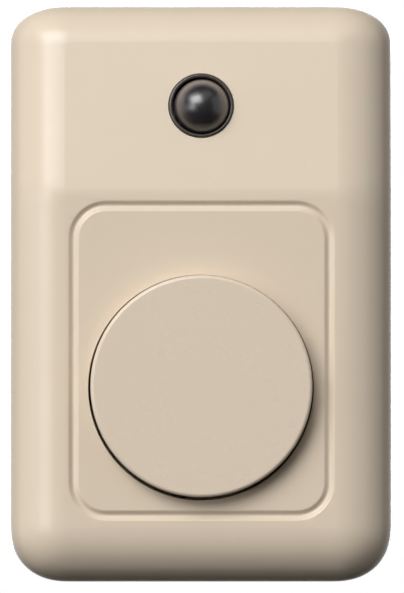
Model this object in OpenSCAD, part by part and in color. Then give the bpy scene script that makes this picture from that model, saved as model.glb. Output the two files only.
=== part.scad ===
// Wall-mounted bell push with a smoked indicator lens above a round button.
// Everything is drawn lying on its back: x to the right, y up the wall and z out of the wall.
// The module upright() then stands each piece up, so that its front faces -Y and +Z is up.

/* [Housing] */
// Width of the cover
housing_w = 53; // [50:0.5:60]
// Height of the cover
housing_h = 80; // [76:0.5:92]
// Height of the flat deck above the wall
deck_z = 18; // [17:0.25:21]
// Wall thickness of the cover
cover_wall = 2; // [1.7:0.1:2.3]
// Corner radius of the outline
corner_r = 7.2; // [6:0.1:8.5]
// Radius that rolls the deck over into the sides and the bottom
edge_r = 8.3; // [7:0.1:9]
// Radius that rolls the brow over into the top
top_edge_r = 6.5; // [5.5:0.1:7.5]
// Height of the sloping brow, from its crease to the top of the cover
brow_h = 26; // [24:0.5:30]
// Backward lean of the brow in degrees
brow_tilt = 10; // [7:0.5:13]
// Gap between the rim of the cover and the wall
rim_gap = 0.4; // [0.2:0.1:0.8]
// Width of the notch in the bottom rim, for a screwdriver that lifts the cover off
pry_w = 8; // [6:0.5:10]
// Depth of that notch
pry_d = 1.8; // [1.2:0.1:2.4]

/* [Panel groove] */
// Width of the groove moulded round the button
groove_w = 1.7; // [1:0.1:1.8]
// Depth of the groove
groove_d = 0.4; // [0.3:0.05:0.7]
// Distance from the button to the groove at the sides
panel_margin = 2.3; // [2:0.1:2.6]
// Distance from the bottom of the button down to the groove
panel_foot = 2.5; // [2.2:0.1:2.8]
// Distance from the crease down to the groove
panel_drop = 1.85; // [1.4:0.05:2.4]
// Corner radius of the groove
panel_r = 4.5; // [3:0.25:6]

/* [Button] */
// Diameter of the button
button_d = 31; // [28:0.5:32]
// Height of the button's centre above the bottom of the cover
button_rise = 27.2; // [26:0.2:29]
// Height of the button above the deck
button_proud = 2.7; // [1.5:0.1:3]
// Distance that the button travels
travel = 1.5; // [1:0.1:1.8]
// Thickness of the button's cap
cap_t = 2; // [1.6:0.1:2.4]
// Thickness of the button's skirt
skirt_t = 1.5; // [1.2:0.1:2]
// Radius on the button's top edge
button_edge_r = 0.8; // [0.3:0.05:1]
// Gap between the button and its guide collar
slide_gap = 0.28; // [0.2:0.02:0.4]
// Wall thickness of the guide collar
collar_wall = 1.5; // [1.2:0.1:2]
// Reach of the retaining flange beyond the skirt
flange_reach = 1.2; // [1:0.1:1.5]
// Thickness of the retaining flange
flange_t = 1.5; // [1.2:0.1:2]
// Gap between the flange and the collar that stops it
stop_gap = 0.2; // [0.1:0.05:0.4]
// Gap that is left under the pressed button
press_gap = 0.4; // [0.3:0.05:0.6]
// Diameter of the button's stem
stem_d = 5; // [4.5:0.1:5.5]
// Diameter of the stem's lower end, which carries the bridge
stem_tip_d = 3; // [2.6:0.1:3.4]

/* [Switch] */
// Width of the contact block
block_w = 27; // [26:0.5:30]
// Height of the contact block, measured up the wall
block_h = 23; // [22:0.5:25]
// Thickness of the roof over the bridge
block_roof = 1; // [0.8:0.1:1.4]
// Outer diameter of the tube that guides the stem
guide_d = 9; // [8.4:0.2:9.6]
// Height of the guide tube above the block
guide_h = 3; // [2.5:0.1:4]
// Gap between the stem and the guide
stem_gap = 0.05; // [0.03:0.01:0.08]
// Length of the moving bridge
bridge_l = 18; // [17:0.5:19]
// Width of the moving bridge
bridge_w = 5; // [4.4:0.2:5.6]
// Thickness of the moving bridge
bridge_t = 0.6; // [0.5:0.05:0.8]
// Thickness of the fixed contact strips
strip_t = 0.8; // [0.6:0.05:1]
// Width of the fixed contact strips
strip_w = 5.4; // [5:0.1:5.8]
// Diameter of a contact rivet's head
rivet_d = 3; // [2.6:0.1:3.4]
// Height of a fixed contact rivet
fixed_rivet_h = 0.9; // [0.7:0.05:1.1]
// Height of a moving contact rivet
moving_rivet_h = 0.65; // [0.5:0.05:0.8]
// Gap left between the contacts of the pressed button
contact_gap = 0.15; // [0.1:0.05:0.3]
// Thickness of the clip under the bridge
clip_t = 0.7; // [0.5:0.05:0.9]
// Distance from a contact rivet out to its terminal
terminal_offset = 0.9; // [0.6:0.1:1.2]
// Height of the terminal shelf above the base plate
shelf_h = 2.8; // [2.4:0.1:3.2]
// Size of a square terminal clamp
clamp_w = 6; // [5.6:0.1:6.4]
// Thickness of a terminal clamp
clamp_t = 0.6; // [0.5:0.05:0.8]

/* [Return spring] */
// Mean diameter of the spring
spring_d = 11; // [10.6:0.1:12]
// Diameter of the spring's wire
spring_wire = 0.8; // [0.6:0.05:0.9]
// Number of turns
spring_turns = 5; // [4:0.5:6]

/* [Indicator] */
// Distance from the top of the cover down to the lens
lens_drop = 14; // [13:0.25:15]
// Diameter of the lens
lens_d = 7.6; // [7:0.1:7.8]
// Rise of the lens dome above its cylinder
dome_rise = 3.4; // [2.8:0.1:3.5]
// Height of the dome's top above the brow
dome_proud = 3.2; // [2.6:0.1:3.4]
// Wall thickness of the lens
lens_wall = 1; // [0.8:0.1:1.2]
// Sideways play that the lens has taken up in its bezel
lens_shift = 0.3; // [0:0.02:0.32]
// Direction of that play, in degrees below level
lens_sag = 40; // [0:5:90]
// Outer diameter of the bezel
bezel_d = 9; // [8.9:0.1:9.4]
// Inner diameter of the bezel
bezel_bore = 8.3; // [8.2:0.05:8.4]
// Height of the bezel above the brow
bezel_proud = 0.25; // [0.1:0.05:0.5]
// Depth of the bezel's countersunk mouth
bezel_sink = 1; // [0.6:0.1:1.4]
// Diameter of the bezel's flange, behind the cover
bezel_flange_d = 11; // [10.8:0.1:11.4]
// Thickness of the flanges and the retaining ring behind the lens
ring_t = 0.9; // [0.7:0.1:1.1]
// Wall thickness of the boss behind the lens
lens_boss_wall = 1.4; // [1.2:0.1:1.6]
// Diameter of the light-emitting diode
led_d = 3; // [2.8:0.1:3.2]
// Height of the light-emitting diode
led_h = 5.3; // [4.8:0.1:5.8]
// Depth of the diode's tip below the brow
led_depth = 2.1; // [1.9:0.1:2.6]
// Width of the lamp board
board_w = 25; // [24:0.5:27]
// Height of the lamp board, measured up the wall
board_h = 11; // [10.5:0.25:12]
// Thickness of the lamp board
board_t = 1.6; // [1.2:0.1:1.8]
// Distance from the centre line to a board screw
board_screw_x = 9.8; // [9.7:0.1:10.2]
// Diameter of the cover's bosses for the board screws
board_boss_d = 4.6; // [4.2:0.1:5]
// Diameter of a lamp wire over its insulation
wire_d = 1.2; // [1:0.1:1.4]
// Diameter of a wire's core and of the component leads
core_d = 0.5; // [0.4:0.05:0.55]

/* [Base plate and fixings] */
// Thickness of the base plate
base_t = 2.4; // [2:0.1:3]
// Gap between the base plate and the cover
base_gap = 0.2; // [0.15:0.05:0.35]
// Height of the stiffening rim above the base plate
base_rim_h = 3; // [2:0.25:4]
// Thickness of that rim
base_rim_t = 1.2; // [1:0.1:1.6]
// Distance from the ends of the cover to the wall-screw slots
slot_inset = 10; // [9.5:0.25:10.5]
// Width of a wall-screw slot
slot_w = 4.4; // [3.8:0.1:5]
// Length of a wall-screw slot
slot_l = 8.4; // [7:0.2:9]
// Diameter of the cable entry
cable_d = 12; // [10:0.5:13]
// Height of the cable entry above the button's centre
cable_rise = 21.8; // [20.5:0.2:22.5]
// Width of a snap hook
snap_w = 8; // [6:0.5:10]
// Reach of a snap ridge into the cover
snap_reach = 0.9; // [0.7:0.05:1.1]
// Height of a snap ridge
snap_h = 1.2; // [1:0.1:1.5]
// Diameter of a small screw's shank
screw_d = 2.2; // [2:0.1:2.4]
// Diameter of a small screw's head
screw_head_d = 4.4; // [4:0.1:4.8]
// Height of a small screw's head
screw_head_h = 1.4; // [1.2:0.1:1.6]
// Diameter of a terminal screw's head
terminal_head_d = 5.2; // [4.8:0.1:5.4]
// Height of a terminal screw's head
terminal_head_h = 1.2; // [1:0.05:1.25]

/* [Hidden] */
$fn = 64;

// Colours of the mouldings and the metal
ivory = "#dfd0bc";
ivory_button = "#d6c8b3";
smoke = "#26262b";
black_nylon = "#2b2927";
phenolic = "#4a3a2e";
brass = "#c2a24c";
steel = "#b9bcc0";
silver = "#d8d8d4";
board_green = "#2f5b3c";
clear_epoxy = "#d9dde0";
beige_lacquer = "#c9b48a";
wire_red = "#8e2f2a";
wire_blue = "#2f3a52";

// Clearances shared by several pieces
fit_gap = 0.1;
thread_gap = 0.05;
bridge_room = 0.4;
bridge_play = 0.6;
cut = 0.5;

// Small features of the mouldings and the electrical parts
edge_wall = 0.8;
rivet_edge = 0.4;
boss_wall = 1.4;
boss_h = 2;
pilot_skin = 0.5;
pilot_depth = 4;
lens_lap = 0.3;
led_rim = 0.4;
led_rim_h = 1;
lead_pitch = 2.54;
resistor_d = 1.9;
resistor_l = 5;
diode_d = 1.7;
diode_l = 4;

// Places on the face of the cover
crease_y = housing_h / 2 - brow_h;
button_y = button_rise - housing_h / 2;
lens_y = housing_h / 2 - lens_drop;
slot_y = housing_h / 2 - slot_inset;
cable_y = button_y + cable_rise;

// Heights of the switch, stacked up from the base plate
strip_top = base_t + strip_t;
fixed_rivet_top = strip_top + fixed_rivet_h;
moving_rivet_z = fixed_rivet_top + travel + contact_gap;
bridge_z = moving_rivet_z + moving_rivet_h;
cavity_top = bridge_z + bridge_t + bridge_room;
block_top = cavity_top + block_roof;
guide_top = block_top + guide_h;
flange_z = block_top + travel + press_gap;
collar_z = flange_z + flange_t + stop_gap;
button_top = deck_z + button_proud;
cap_z = button_top - cap_t;
shelf_z = base_t + shelf_h;
tab_top = shelf_z + strip_t;
clamp_z = tab_top + core_d + fit_gap;
clamp_top = clamp_z + clamp_t;
tip_z = bridge_z - clip_t - fit_gap;

// Plan of the switch, measured from the button's centre
cavity_w = bridge_l + 2 * bridge_play;
cavity_h = bridge_w + 2 * bridge_play;
shelf_y = cavity_h / 2 + strip_t + fit_gap;
terminal_y = (shelf_y + block_h / 2) / 2;
boss_d = screw_d + 2 * boss_wall;
block_screw_x = block_w / 2 - boss_d / 2 - edge_wall;
block_screw_y = boss_d / 2 + edge_wall - block_h / 2;
contact_x = bridge_l / 2 - rivet_d / 2 - rivet_edge;
terminal_x = contact_x + terminal_offset;
rivet_shank_d = rivet_d / 2;

// Radii of the button and its guide
button_r = button_d / 2;
collar_r = button_r + slide_gap;
flange_r = button_r + flange_reach;

// The lens stack, measured inwards from the brow's outer face
bezel_top = bezel_proud;
bezel_seat = -cover_wall - thread_gap;
bezel_back = bezel_seat - ring_t;
lens_flange_top = bezel_back - fit_gap;
lens_back = lens_flange_top - ring_t;
retainer_top = lens_back - fit_gap;
retainer_back = retainer_top - ring_t;
lens_boss_bore = bezel_flange_d + 2 * fit_gap;
lens_flange_d = bezel_bore + 2 * (lens_shift + lens_lap);
dome_r = (pow(lens_d / 2, 2) + pow(dome_rise, 2)) / (2 * dome_rise);
lens_bore_r = lens_d / 2 - lens_wall;

// The lamp board hangs from the cover under the lens
function brow_z(y) = deck_z - (y - crease_y) * tan(brow_tilt);
led_tip = brow_z(lens_y) - led_depth;
board_top = led_tip - led_h;
board_z = board_top - board_t;
board_y = lens_y - board_h / 2 + led_d;
board_boss_top = brow_z(lens_y) - cover_wall / 2;
row_y = board_y - board_h / 2 + wire_d + core_d;
part_span = 3 * lead_pitch;
part_x = board_w / 2 - part_span / 2 - lead_pitch / 2;

// Round forms
arc_steps = 8;
wire_sides = 8;
turn_steps = 16;
wire_steps = 12;

function unit(v) = v / norm(v);
function arc(cx, cy, r, from, to, n = arc_steps) =
    [for (i = [0:n]) let (a = from + (to - from) * i / n) [cx + r * cos(a), cy + r * sin(a)]];

// One ring of a tube round the point c, with t along the tube and ref across it
function tube_ring(c, t, ref, r) =
    let (u = unit(cross(t, ref)), v = cross(unit(t), u))
    [for (j = [0:wire_sides - 1]) let (a = 360 * j / wire_sides) c + r * (cos(a) * u + sin(a) * v)];

module upright() rotate([90, 0, 0]) children();

module at_button() translate([0, button_y, 0]) children();

// Moves to the lens, with z square to the brow
module at_lens() translate([0, lens_y, brow_z(lens_y)]) rotate([-brow_tilt, 0, 0]) children();

module mirrored_x() {
    children();
    mirror([1, 0, 0]) children();
}

module rounded_rect(w, h, r) {
    square([w - 2 * r, h], center = true);
    square([w, h - 2 * r], center = true);
    for (x = [-1, 1], y = [-1, 1])
        translate([x * (w / 2 - r), y * (h / 2 - r)]) circle(r);
}

module disc(d, z0, z1) translate([0, 0, z0]) cylinder(d = d, h = z1 - z0);

module tube(d_out, d_in, z0, z1) {
    difference() {
        disc(d_out, z0, z1);
        disc(d_in, z0 - cut, z1 + cut);
    }
}

module block_between(p, q) translate(p) cube(q - p);

// Skins a list of rings into one closed tube
module skin(rings) {
    n = len(rings[0]);
    last = len(rings) - 1;
    sides = [for (i = [0:last - 1], j = [0:n - 1]) let (k = (j + 1) % n, a = i * n, b = a + n)
        each [[a + j, b + j, b + k], [a + j, b + k, a + k]]];
    caps = [[for (j = [0:n - 1]) j], [for (j = [n - 1:-1:0]) last * n + j]];
    polyhedron([for (ring = rings) each ring], concat(sides, caps));
}

// Outline of one level of the cover's lower part, with its two rounded bottom corners
function deck_ring(w, bottom, top, r, z) = [
    [w, top, z],
    each [for (p = arc(w - r, bottom + r, r, 0, -90)) [p.x, p.y, z]],
    each [for (p = arc(r - w, bottom + r, r, -90, -180)) [p.x, p.y, z]],
    [-w, top, z]
];

// Outline of one layer of the brow, at a depth h below its sloping face and a length v along it
function brow_ring(w, y, z, h, v, r) = [
    for (p = [[w, 0], each arc(w - r, v - r, r, 0, 90), each arc(r - w, v - r, r, 90, 180), [-w, 0]])
        [p.x, y + p.y * cos(brow_tilt) - h * sin(brow_tilt), z - p.y * sin(brow_tilt) - h * cos(brow_tilt)]
];

// The cover's cushion form, drawn in by inset on every side, down to the height z0.
// The deck's edges roll over on one arc, and the brow leans back and rolls over at its top.
module cushion(inset, z0) {
    half_w = housing_w / 2 - inset;
    half_h = housing_h / 2 - inset;
    r = edge_r - inset;
    top_r = top_edge_r - inset;
    round_r = corner_r - inset;
    deck = deck_z - inset;
    roll_z = deck_z - edge_r;
    fold_y = crease_y - inset * tan(brow_tilt / 2);
    top_v = (half_h - top_r - fold_y + top_r * sin(brow_tilt)) / cos(brow_tilt);
    least_r = 0.3;
    deck_rings = [for (i = [0:arc_steps]) let (a = 90 * i / arc_steps, e = r * (1 - cos(a)))
        deck_ring(half_w - e, e - half_h, fold_y, max(round_r - e, least_r), roll_z + r * sin(a))];
    brow_rings = [for (i = [0:arc_steps])
        let (
            a = 90 * i / arc_steps,
            e = r * (1 - cos(a)),
            h = r * (1 - sin(a)),
            rolled = h < top_r * (1 - sin(brow_tilt)),
            v = rolled ? top_v + sqrt(top_r * top_r - pow(top_r - h, 2))
                : (half_h - fold_y + h * sin(brow_tilt)) / cos(brow_tilt)
        )
        brow_ring(half_w - e, fold_y, deck, h, v, max(round_r - e, least_r))];
    foot = deck_ring(half_w, -half_h, 0, round_r, z0);
    foot_top = [for (p = foot) [p.x, -p.y, p.z]];
    rings = concat(deck_rings, brow_rings, [foot, foot_top]);
    points = [for (ring = rings) each ring];
    hull() polyhedron(points, [[for (i = [0:len(points) - 1]) i]]);
}

// V-shaped cut along the panel's outline: four straight runs and four turned corners
module panel_groove() {
    w = button_d + 2 * panel_margin;
    top = crease_y - panel_drop;
    bottom = button_y - button_r - panel_foot;
    h = top - bottom;
    over = cut * groove_w / groove_d / 2;
    module notch() polygon([[-groove_w / 2 - over, cut], [0, -groove_d], [groove_w / 2 + over, cut]]);
    module run(l) rotate([90, 0, 0]) linear_extrude(l, center = true) notch();
    translate([0, (top + bottom) / 2, deck_z]) {
        for (s = [-1, 1]) {
            translate([s * w / 2, 0, 0]) run(h - 2 * panel_r);
            translate([0, s * h / 2, 0]) rotate([0, 0, 90]) run(w - 2 * panel_r);
        }
        for (q = [0:3]) {
            sx = (q == 0 || q == 3) ? 1 : -1;
            sy = q < 2 ? 1 : -1;
            translate([sx * (w / 2 - panel_r), sy * (h / 2 - panel_r), 0])
                rotate([0, 0, 90 * q]) rotate_extrude(angle = 90) translate([panel_r, 0]) notch();
        }
    }
}

// Ridge inside one end wall of the cover, which a hook of the base plate catches
module snap_ridge() {
    wall_y = housing_h / 2 - cover_wall;
    z = base_t + snap_h;
    rotate([90, 0, 90]) linear_extrude(snap_w, center = true)
        polygon([
            [wall_y + cover_wall / 2, z], [wall_y, z], [wall_y - snap_reach, z + snap_h / 3],
            [wall_y - snap_reach, z + snap_h], [wall_y + cover_wall / 2, z + snap_h]
        ]);
}

// Gussets that brace the guide collar against the side walls and the bottom wall
module collar_gussets() {
    intersection() {
        cushion(cover_wall / 2, rim_gap);
        at_button() for (turn = [0, 180, 270]) rotate([0, 0, turn])
            block_between([collar_r + collar_wall / 2, -collar_wall / 2, collar_z],
                [housing_h / 2, collar_wall / 2, deck_z]);
    }
}

module front_cover() {
    color(ivory) upright() difference() {
        union() {
            difference() {
                cushion(0, rim_gap);
                cushion(cover_wall, -cut);
                panel_groove();
            }
            at_button() disc(2 * (collar_r + collar_wall), collar_z, deck_z - cover_wall / 2);
            collar_gussets();
            at_lens() disc(lens_boss_bore + 2 * lens_boss_wall, retainer_back, -cover_wall / 2);
            mirrored_x() translate([board_screw_x, lens_y, 0])
                disc(board_boss_d, board_top, board_boss_top);
            for (turn = [0, 180]) rotate([0, 0, turn]) snap_ridge();
        }
        at_button() disc(2 * collar_r, collar_z - cut, deck_z + cut);
        at_lens() {
            disc(bezel_d + 2 * thread_gap, retainer_back, cut);
            disc(lens_boss_bore, retainer_back - cut, -cover_wall);
        }
        mirrored_x() translate([board_screw_x, lens_y, 0])
            disc(screw_d + 2 * thread_gap, board_top - cut, board_top + pilot_depth);
        block_between([-pry_w / 2, -housing_h / 2 - cut, rim_gap - cut],
            [pry_w / 2, cover_wall - housing_h / 2 + cut, rim_gap + pry_d]);
    }
}

// Hook at one end of the base plate, with its barb over the cover's ridge
module snap_hook() {
    face_y = housing_h / 2 - cover_wall - snap_reach - base_gap;
    barb_z = base_t + 2 * snap_h + base_gap;
    rotate([90, 0, 90]) linear_extrude(snap_w, center = true)
        polygon([
            [face_y - base_rim_t, base_t - cut], [face_y, base_t - cut], [face_y, barb_z],
            [face_y + snap_reach - base_gap, barb_z], [face_y, barb_z + 2 * snap_h],
            [face_y - base_rim_t, barb_z + 2 * snap_h]
        ]);
}

module slot_plan() {
    square([slot_w, slot_l - slot_w], center = true);
    for (s = [-1, 1]) translate([0, s * (slot_l - slot_w) / 2]) circle(d = slot_w);
}

module base_plate() {
    shrink = 2 * (cover_wall + base_gap);
    w = housing_w - shrink;
    h = housing_h - shrink;
    r = corner_r - shrink / 2;
    color(ivory) upright() difference() {
        union() {
            linear_extrude(base_t) rounded_rect(w, h, r);
            difference() {
                linear_extrude(base_t + base_rim_h) rounded_rect(w, h, r);
                translate([0, 0, base_t]) linear_extrude(base_rim_h + cut)
                    rounded_rect(w - 2 * base_rim_t, h - 2 * base_rim_t, r - base_rim_t);
                translate([0, 0, base_t]) linear_extrude(base_rim_h + cut)
                    square([snap_w + 4 * base_rim_t, h + 2 * cut], center = true);
            }
            for (turn = [0, 180]) rotate([0, 0, turn]) snap_hook();
            at_button() mirrored_x() translate([block_screw_x, block_screw_y, 0])
                disc(boss_d, base_t - cut, base_t + boss_h);
        }
        for (s = [-1, 1]) translate([0, s * slot_y, -cut]) linear_extrude(base_t + 2 * cut) slot_plan();
        translate([0, cable_y, 0]) disc(cable_d, -cut, base_t + cut);
        at_button() mirrored_x() translate([block_screw_x, block_screw_y, 0])
            disc(screw_d + 2 * thread_gap, pilot_skin, base_t + boss_h + cut);
    }
}

// A cup with a retaining flange, a stem down its middle and ribs under the cap
module push_button() {
    skirt_r = button_r - skirt_t;
    rib_in = spring_d / 2 + spring_wire + skirt_t;
    rib_h = cap_t;
    color(ivory_button) upright() at_button() {
        rotate_extrude() polygon([
            [0, cap_z], [skirt_r, cap_z], [skirt_r, flange_z], [flange_r, flange_z],
            [flange_r, flange_z + flange_t], [button_r, flange_z + flange_t],
            each arc(button_r - button_edge_r, button_top - button_edge_r, button_edge_r, 0, 90),
            [0, button_top]
        ]);
        disc(stem_d, bridge_z + bridge_t, cap_z + cut);
        disc(stem_tip_d, tip_z, bridge_z + bridge_t + cut);
        for (a = [45:90:315]) rotate([0, 0, a])
            block_between([rib_in, -skirt_t / 2, cap_z - rib_h], [skirt_r + cut, skirt_t / 2, cap_z + cut]);
    }
}

// Open helix between the block and the cap
spring_r = spring_d / 2;
spring_z = block_top + fit_gap + spring_wire / 2;
spring_rise = cap_z - fit_gap - spring_wire / 2 - spring_z;
spring_points = [for (i = [0:spring_turns * turn_steps]) let (a = 360 * i / turn_steps)
    [spring_r * cos(a), spring_r * sin(a), spring_z + spring_rise * i / (spring_turns * turn_steps)]];
spring_gap = min([for (i = [0:len(spring_points) - turn_steps - 1])
    norm(spring_points[i + turn_steps] - spring_points[i])]) - spring_wire;
echo(str("least gap between spring turns: ", spring_gap, " mm"));

module return_spring() {
    climb = spring_rise / spring_turns / (2 * PI);
    color(steel) upright() at_button()
        skin([for (p = spring_points) tube_ring(p, [-p.y, p.x, climb], [0, 0, 1], spring_wire / 2)]);
}

module contact_bridge() {
    color(brass) upright() at_button() difference() {
        translate([-bridge_l / 2, -bridge_w / 2, bridge_z]) cube([bridge_l, bridge_w, bridge_t]);
        disc(stem_tip_d + 2 * thread_gap, bridge_z - cut, bridge_z + bridge_t + cut);
        mirrored_x() translate([contact_x, 0, 0])
            disc(rivet_shank_d + 2 * thread_gap, bridge_z - cut, bridge_z + bridge_t + cut);
    }
}

module bridge_contacts() {
    color(silver) upright() at_button() mirrored_x() translate([contact_x, 0, 0]) {
        disc(rivet_d, moving_rivet_z, bridge_z);
        disc(rivet_shank_d, moving_rivet_z, bridge_z + bridge_t + fit_gap);
    }
}

module bridge_clip() {
    color(steel) upright() at_button()
        tube(stem_d, stem_tip_d + 2 * thread_gap, bridge_z - clip_t, bridge_z);
}

// Insulating block with the bridge's cavity, the stem's guide and two terminal shelves
module contact_block() {
    channel_w = strip_w + 2 * fit_gap;
    color(phenolic) upright() at_button() difference() {
        union() {
            translate([-block_w / 2, -block_h / 2, base_t]) cube([block_w, block_h, block_top - base_t]);
            disc(guide_d, block_top - cut, guide_top);
        }
        block_between([-cavity_w / 2, -cavity_h / 2, base_t - cut],
            [cavity_w / 2, cavity_h / 2, cavity_top]);
        disc(stem_d + 2 * stem_gap, base_t, guide_top + cut);
        mirrored_x() {
            block_between([terminal_x - clamp_w / 2 - strip_t, shelf_y, shelf_z],
                [block_w / 2 + cut, block_h / 2 + cut, block_top + cut]);
            block_between([terminal_x - channel_w / 2, -bridge_w / 2 - fit_gap, base_t - cut],
                [terminal_x + channel_w / 2, block_h / 2 + cut, strip_top + fit_gap]);
            translate([terminal_x, terminal_y, 0]) disc(screw_d + 2 * thread_gap, base_t, block_top);
            translate([block_screw_x, block_screw_y, 0]) {
                disc(boss_d + 2 * fit_gap, base_t - cut, base_t + boss_h + fit_gap);
                disc(screw_d + 2 * fit_gap, base_t, block_top);
                disc(screw_head_d + 2 * fit_gap, block_top - screw_head_h - fit_gap, block_top + cut);
            }
        }
    }
}

// Brass strip that lies under the block, wraps round its edge and folds back over the shelf
module fixed_contact() {
    outer_y = block_h / 2 + fit_gap + strip_t;
    translate([terminal_x, 0, 0]) difference() {
        rotate([90, 0, 90]) linear_extrude(strip_w, center = true) polygon([
            [-bridge_w / 2, base_t], [outer_y, base_t], [outer_y, tab_top], [shelf_y + fit_gap, tab_top],
            [shelf_y + fit_gap, shelf_z], [outer_y - strip_t, shelf_z], [outer_y - strip_t, strip_top],
            [-bridge_w / 2, strip_top]
        ]);
        translate([0, terminal_y, 0]) disc(screw_d + 2 * fit_gap, shelf_z - cut / 2, tab_top + cut);
    }
}

module fixed_contact_right() color(brass) upright() at_button() fixed_contact();

module fixed_contact_left() color(brass) upright() at_button() mirror([1, 0, 0]) fixed_contact();

module fixed_contact_rivets() {
    color(silver) upright() at_button() mirrored_x() translate([contact_x, 0, 0])
        disc(rivet_d, strip_top, fixed_rivet_top);
}

// Saddle clamps: a square plate on two lips, with the wire's core under it
module terminal_clamps() {
    color(steel) upright() at_button() mirrored_x() translate([terminal_x, terminal_y, 0]) difference() {
        block_between([-clamp_w / 2, -clamp_w / 2, tab_top], [clamp_w / 2, clamp_w / 2, clamp_top]);
        block_between([clamp_t - clamp_w / 2, -clamp_w / 2 - cut, tab_top - cut],
            [clamp_w / 2 - clamp_t, clamp_w / 2 + cut, clamp_z]);
        disc(screw_d + 2 * fit_gap, tab_top, clamp_top + cut);
    }
}

// A round-headed screw with a driver slot, its shank down to z0 and its head up from z1
module slotted_screw(head_d, head_h, z0, z1) {
    slot = head_h / 2;
    difference() {
        union() {
            disc(head_d, z1, z1 + head_h);
            disc(screw_d, z0, z1 + head_h / 4);
        }
        block_between([-head_d, -slot / 2, z1 + head_h - slot], [head_d, slot / 2, z1 + head_h + cut]);
    }
}

module terminal_screws() {
    color(steel) upright() at_button() mirrored_x() translate([terminal_x, terminal_y, 0])
        slotted_screw(terminal_head_d, terminal_head_h, strip_top + 2 * fit_gap, clamp_top);
}

module block_screws() {
    color(steel) upright() at_button() mirrored_x() translate([block_screw_x, block_screw_y, 0])
        slotted_screw(screw_head_d, screw_head_h, pilot_skin + fit_gap, block_top - screw_head_h - fit_gap);
}

module lens_bezel() {
    lip = bezel_proud;
    color(black_nylon) upright() at_lens() rotate_extrude() polygon([
        [bezel_bore / 2, bezel_back], [bezel_flange_d / 2, bezel_back], [bezel_flange_d / 2, bezel_seat],
        [bezel_d / 2, bezel_seat], [bezel_d / 2, bezel_top - lip / 2], [bezel_d / 2 - lip / 2, bezel_top],
        [bezel_bore / 2, bezel_top - bezel_sink]
    ]);
}

module indicator_lens() {
    outer_a = acos(lens_d / 2 / dome_r);
    centre = dome_proud - dome_r;
    inner_r = dome_r - lens_wall;
    inner_a = acos(lens_bore_r / inner_r);
    color(smoke) upright() at_lens() rotate([0, 0, -lens_sag]) translate([lens_shift, 0, 0])
        rotate_extrude() polygon([
            [lens_bore_r, lens_back], [lens_flange_d / 2, lens_back], [lens_flange_d / 2, lens_flange_top],
            [lens_d / 2, lens_flange_top], each arc(0, centre, dome_r, outer_a, 90),
            each arc(0, centre, inner_r, 90, inner_a)
        ]);
}

module lens_retainer() {
    color(black_nylon) upright() at_lens()
        tube(lens_boss_bore - 2 * thread_gap, lens_d, retainer_back, retainer_top);
}

module indicator_led() {
    color(clear_epoxy) upright() translate([0, lens_y, 0]) {
        disc(led_d + 2 * led_rim, board_top, board_top + led_rim_h);
        disc(led_d, board_top, led_tip - led_d / 2);
        translate([0, 0, led_tip - led_d / 2]) sphere(d = led_d);
        for (s = [-1, 1]) translate([s * lead_pitch / 2, 0, 0])
            disc(core_d, board_z - cut, board_top + cut);
    }
}

// Two-legged component lying on the board along x
module axial_part(body_d, body_l) {
    axis_z = board_top + body_d / 2 + fit_gap;
    translate([0, 0, axis_z]) rotate([0, 90, 0]) {
        cylinder(d = body_d, h = body_l, center = true);
        cylinder(d = core_d, h = part_span, center = true);
    }
    for (s = [-1, 1]) translate([s * part_span / 2, 0, 0]) {
        disc(core_d, board_z - cut, axis_z);
        translate([0, 0, axis_z]) sphere(d = core_d);
    }
}

module series_resistor() {
    color(beige_lacquer) upright() translate([-part_x, row_y, 0]) axial_part(resistor_d, resistor_l);
}

module rectifier_diode() {
    color(black_nylon) upright() translate([part_x, row_y, 0]) axial_part(diode_d, diode_l);
}

module lamp_board() {
    hole_d = core_d + 2 * fit_gap;
    color(board_green) upright() difference() {
        translate([-board_w / 2, board_y - board_h / 2, board_z]) cube([board_w, board_h, board_t]);
        mirrored_x() {
            translate([board_screw_x, lens_y, 0])
                disc(screw_d + 2 * fit_gap, board_z - cut, board_top + cut);
            for (s = [-1, 1]) translate([part_x + s * part_span / 2, row_y, 0])
                disc(hole_d, board_z - cut, board_top + cut);
            translate([lead_pitch / 2, lens_y, 0]) disc(hole_d, board_z - cut, board_top + cut);
            translate([wire_x, row_y, 0]) disc(hole_d, board_z - cut, board_top + cut);
        }
    }
}

module board_screws() {
    color(steel) upright() mirrored_x() translate([board_screw_x, lens_y, board_z]) mirror([0, 0, 1])
        slotted_screw(screw_head_d, screw_head_h, -board_t - pilot_depth + cut, 0);
}

// A lamp wire leaves its terminal up the wall and turns out of the wall into the board
wire_x = lead_pitch / 2;
wire_from = [
    terminal_x + clamp_w / 4,
    button_y + block_h / 2 + strip_t + wire_d,
    tab_top + core_d / 2 + fit_gap / 2
];
wire_to = [wire_x, row_y, board_z - fit_gap];
wire_pull = 12;
wire_rise = 4;

function wire_at(t) =
    let (a = wire_from, b = a + [0, wire_pull, 0], d = wire_to, c = d - [0, 0, wire_rise])
    pow(1 - t, 3) * a + 3 * pow(1 - t, 2) * t * b + 3 * (1 - t) * t * t * c + pow(t, 3) * d;

function wire_heading(t) =
    let (a = wire_from, b = a + [0, wire_pull, 0], d = wire_to, c = d - [0, 0, wire_rise])
    pow(1 - t, 2) * (b - a) + 2 * (1 - t) * t * (c - b) + t * t * (d - c);

module lamp_wire() {
    core_y = wire_from.y - button_y - terminal_y;
    skin([for (i = [0:wire_steps]) let (t = i / wire_steps)
        tube_ring(wire_at(t), wire_heading(t), [1, 0, 0], wire_d / 2)]);
    translate(wire_from) rotate([90, 0, 0])
        disc(core_d, -core_d, core_y);
    translate([wire_to.x, wire_to.y, 0]) disc(core_d, wire_to.z - core_d, board_top + core_d);
}

module lamp_wire_right() color(wire_red) upright() lamp_wire();

module lamp_wire_left() color(wire_blue) upright() mirror([1, 0, 0]) lamp_wire();

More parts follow.
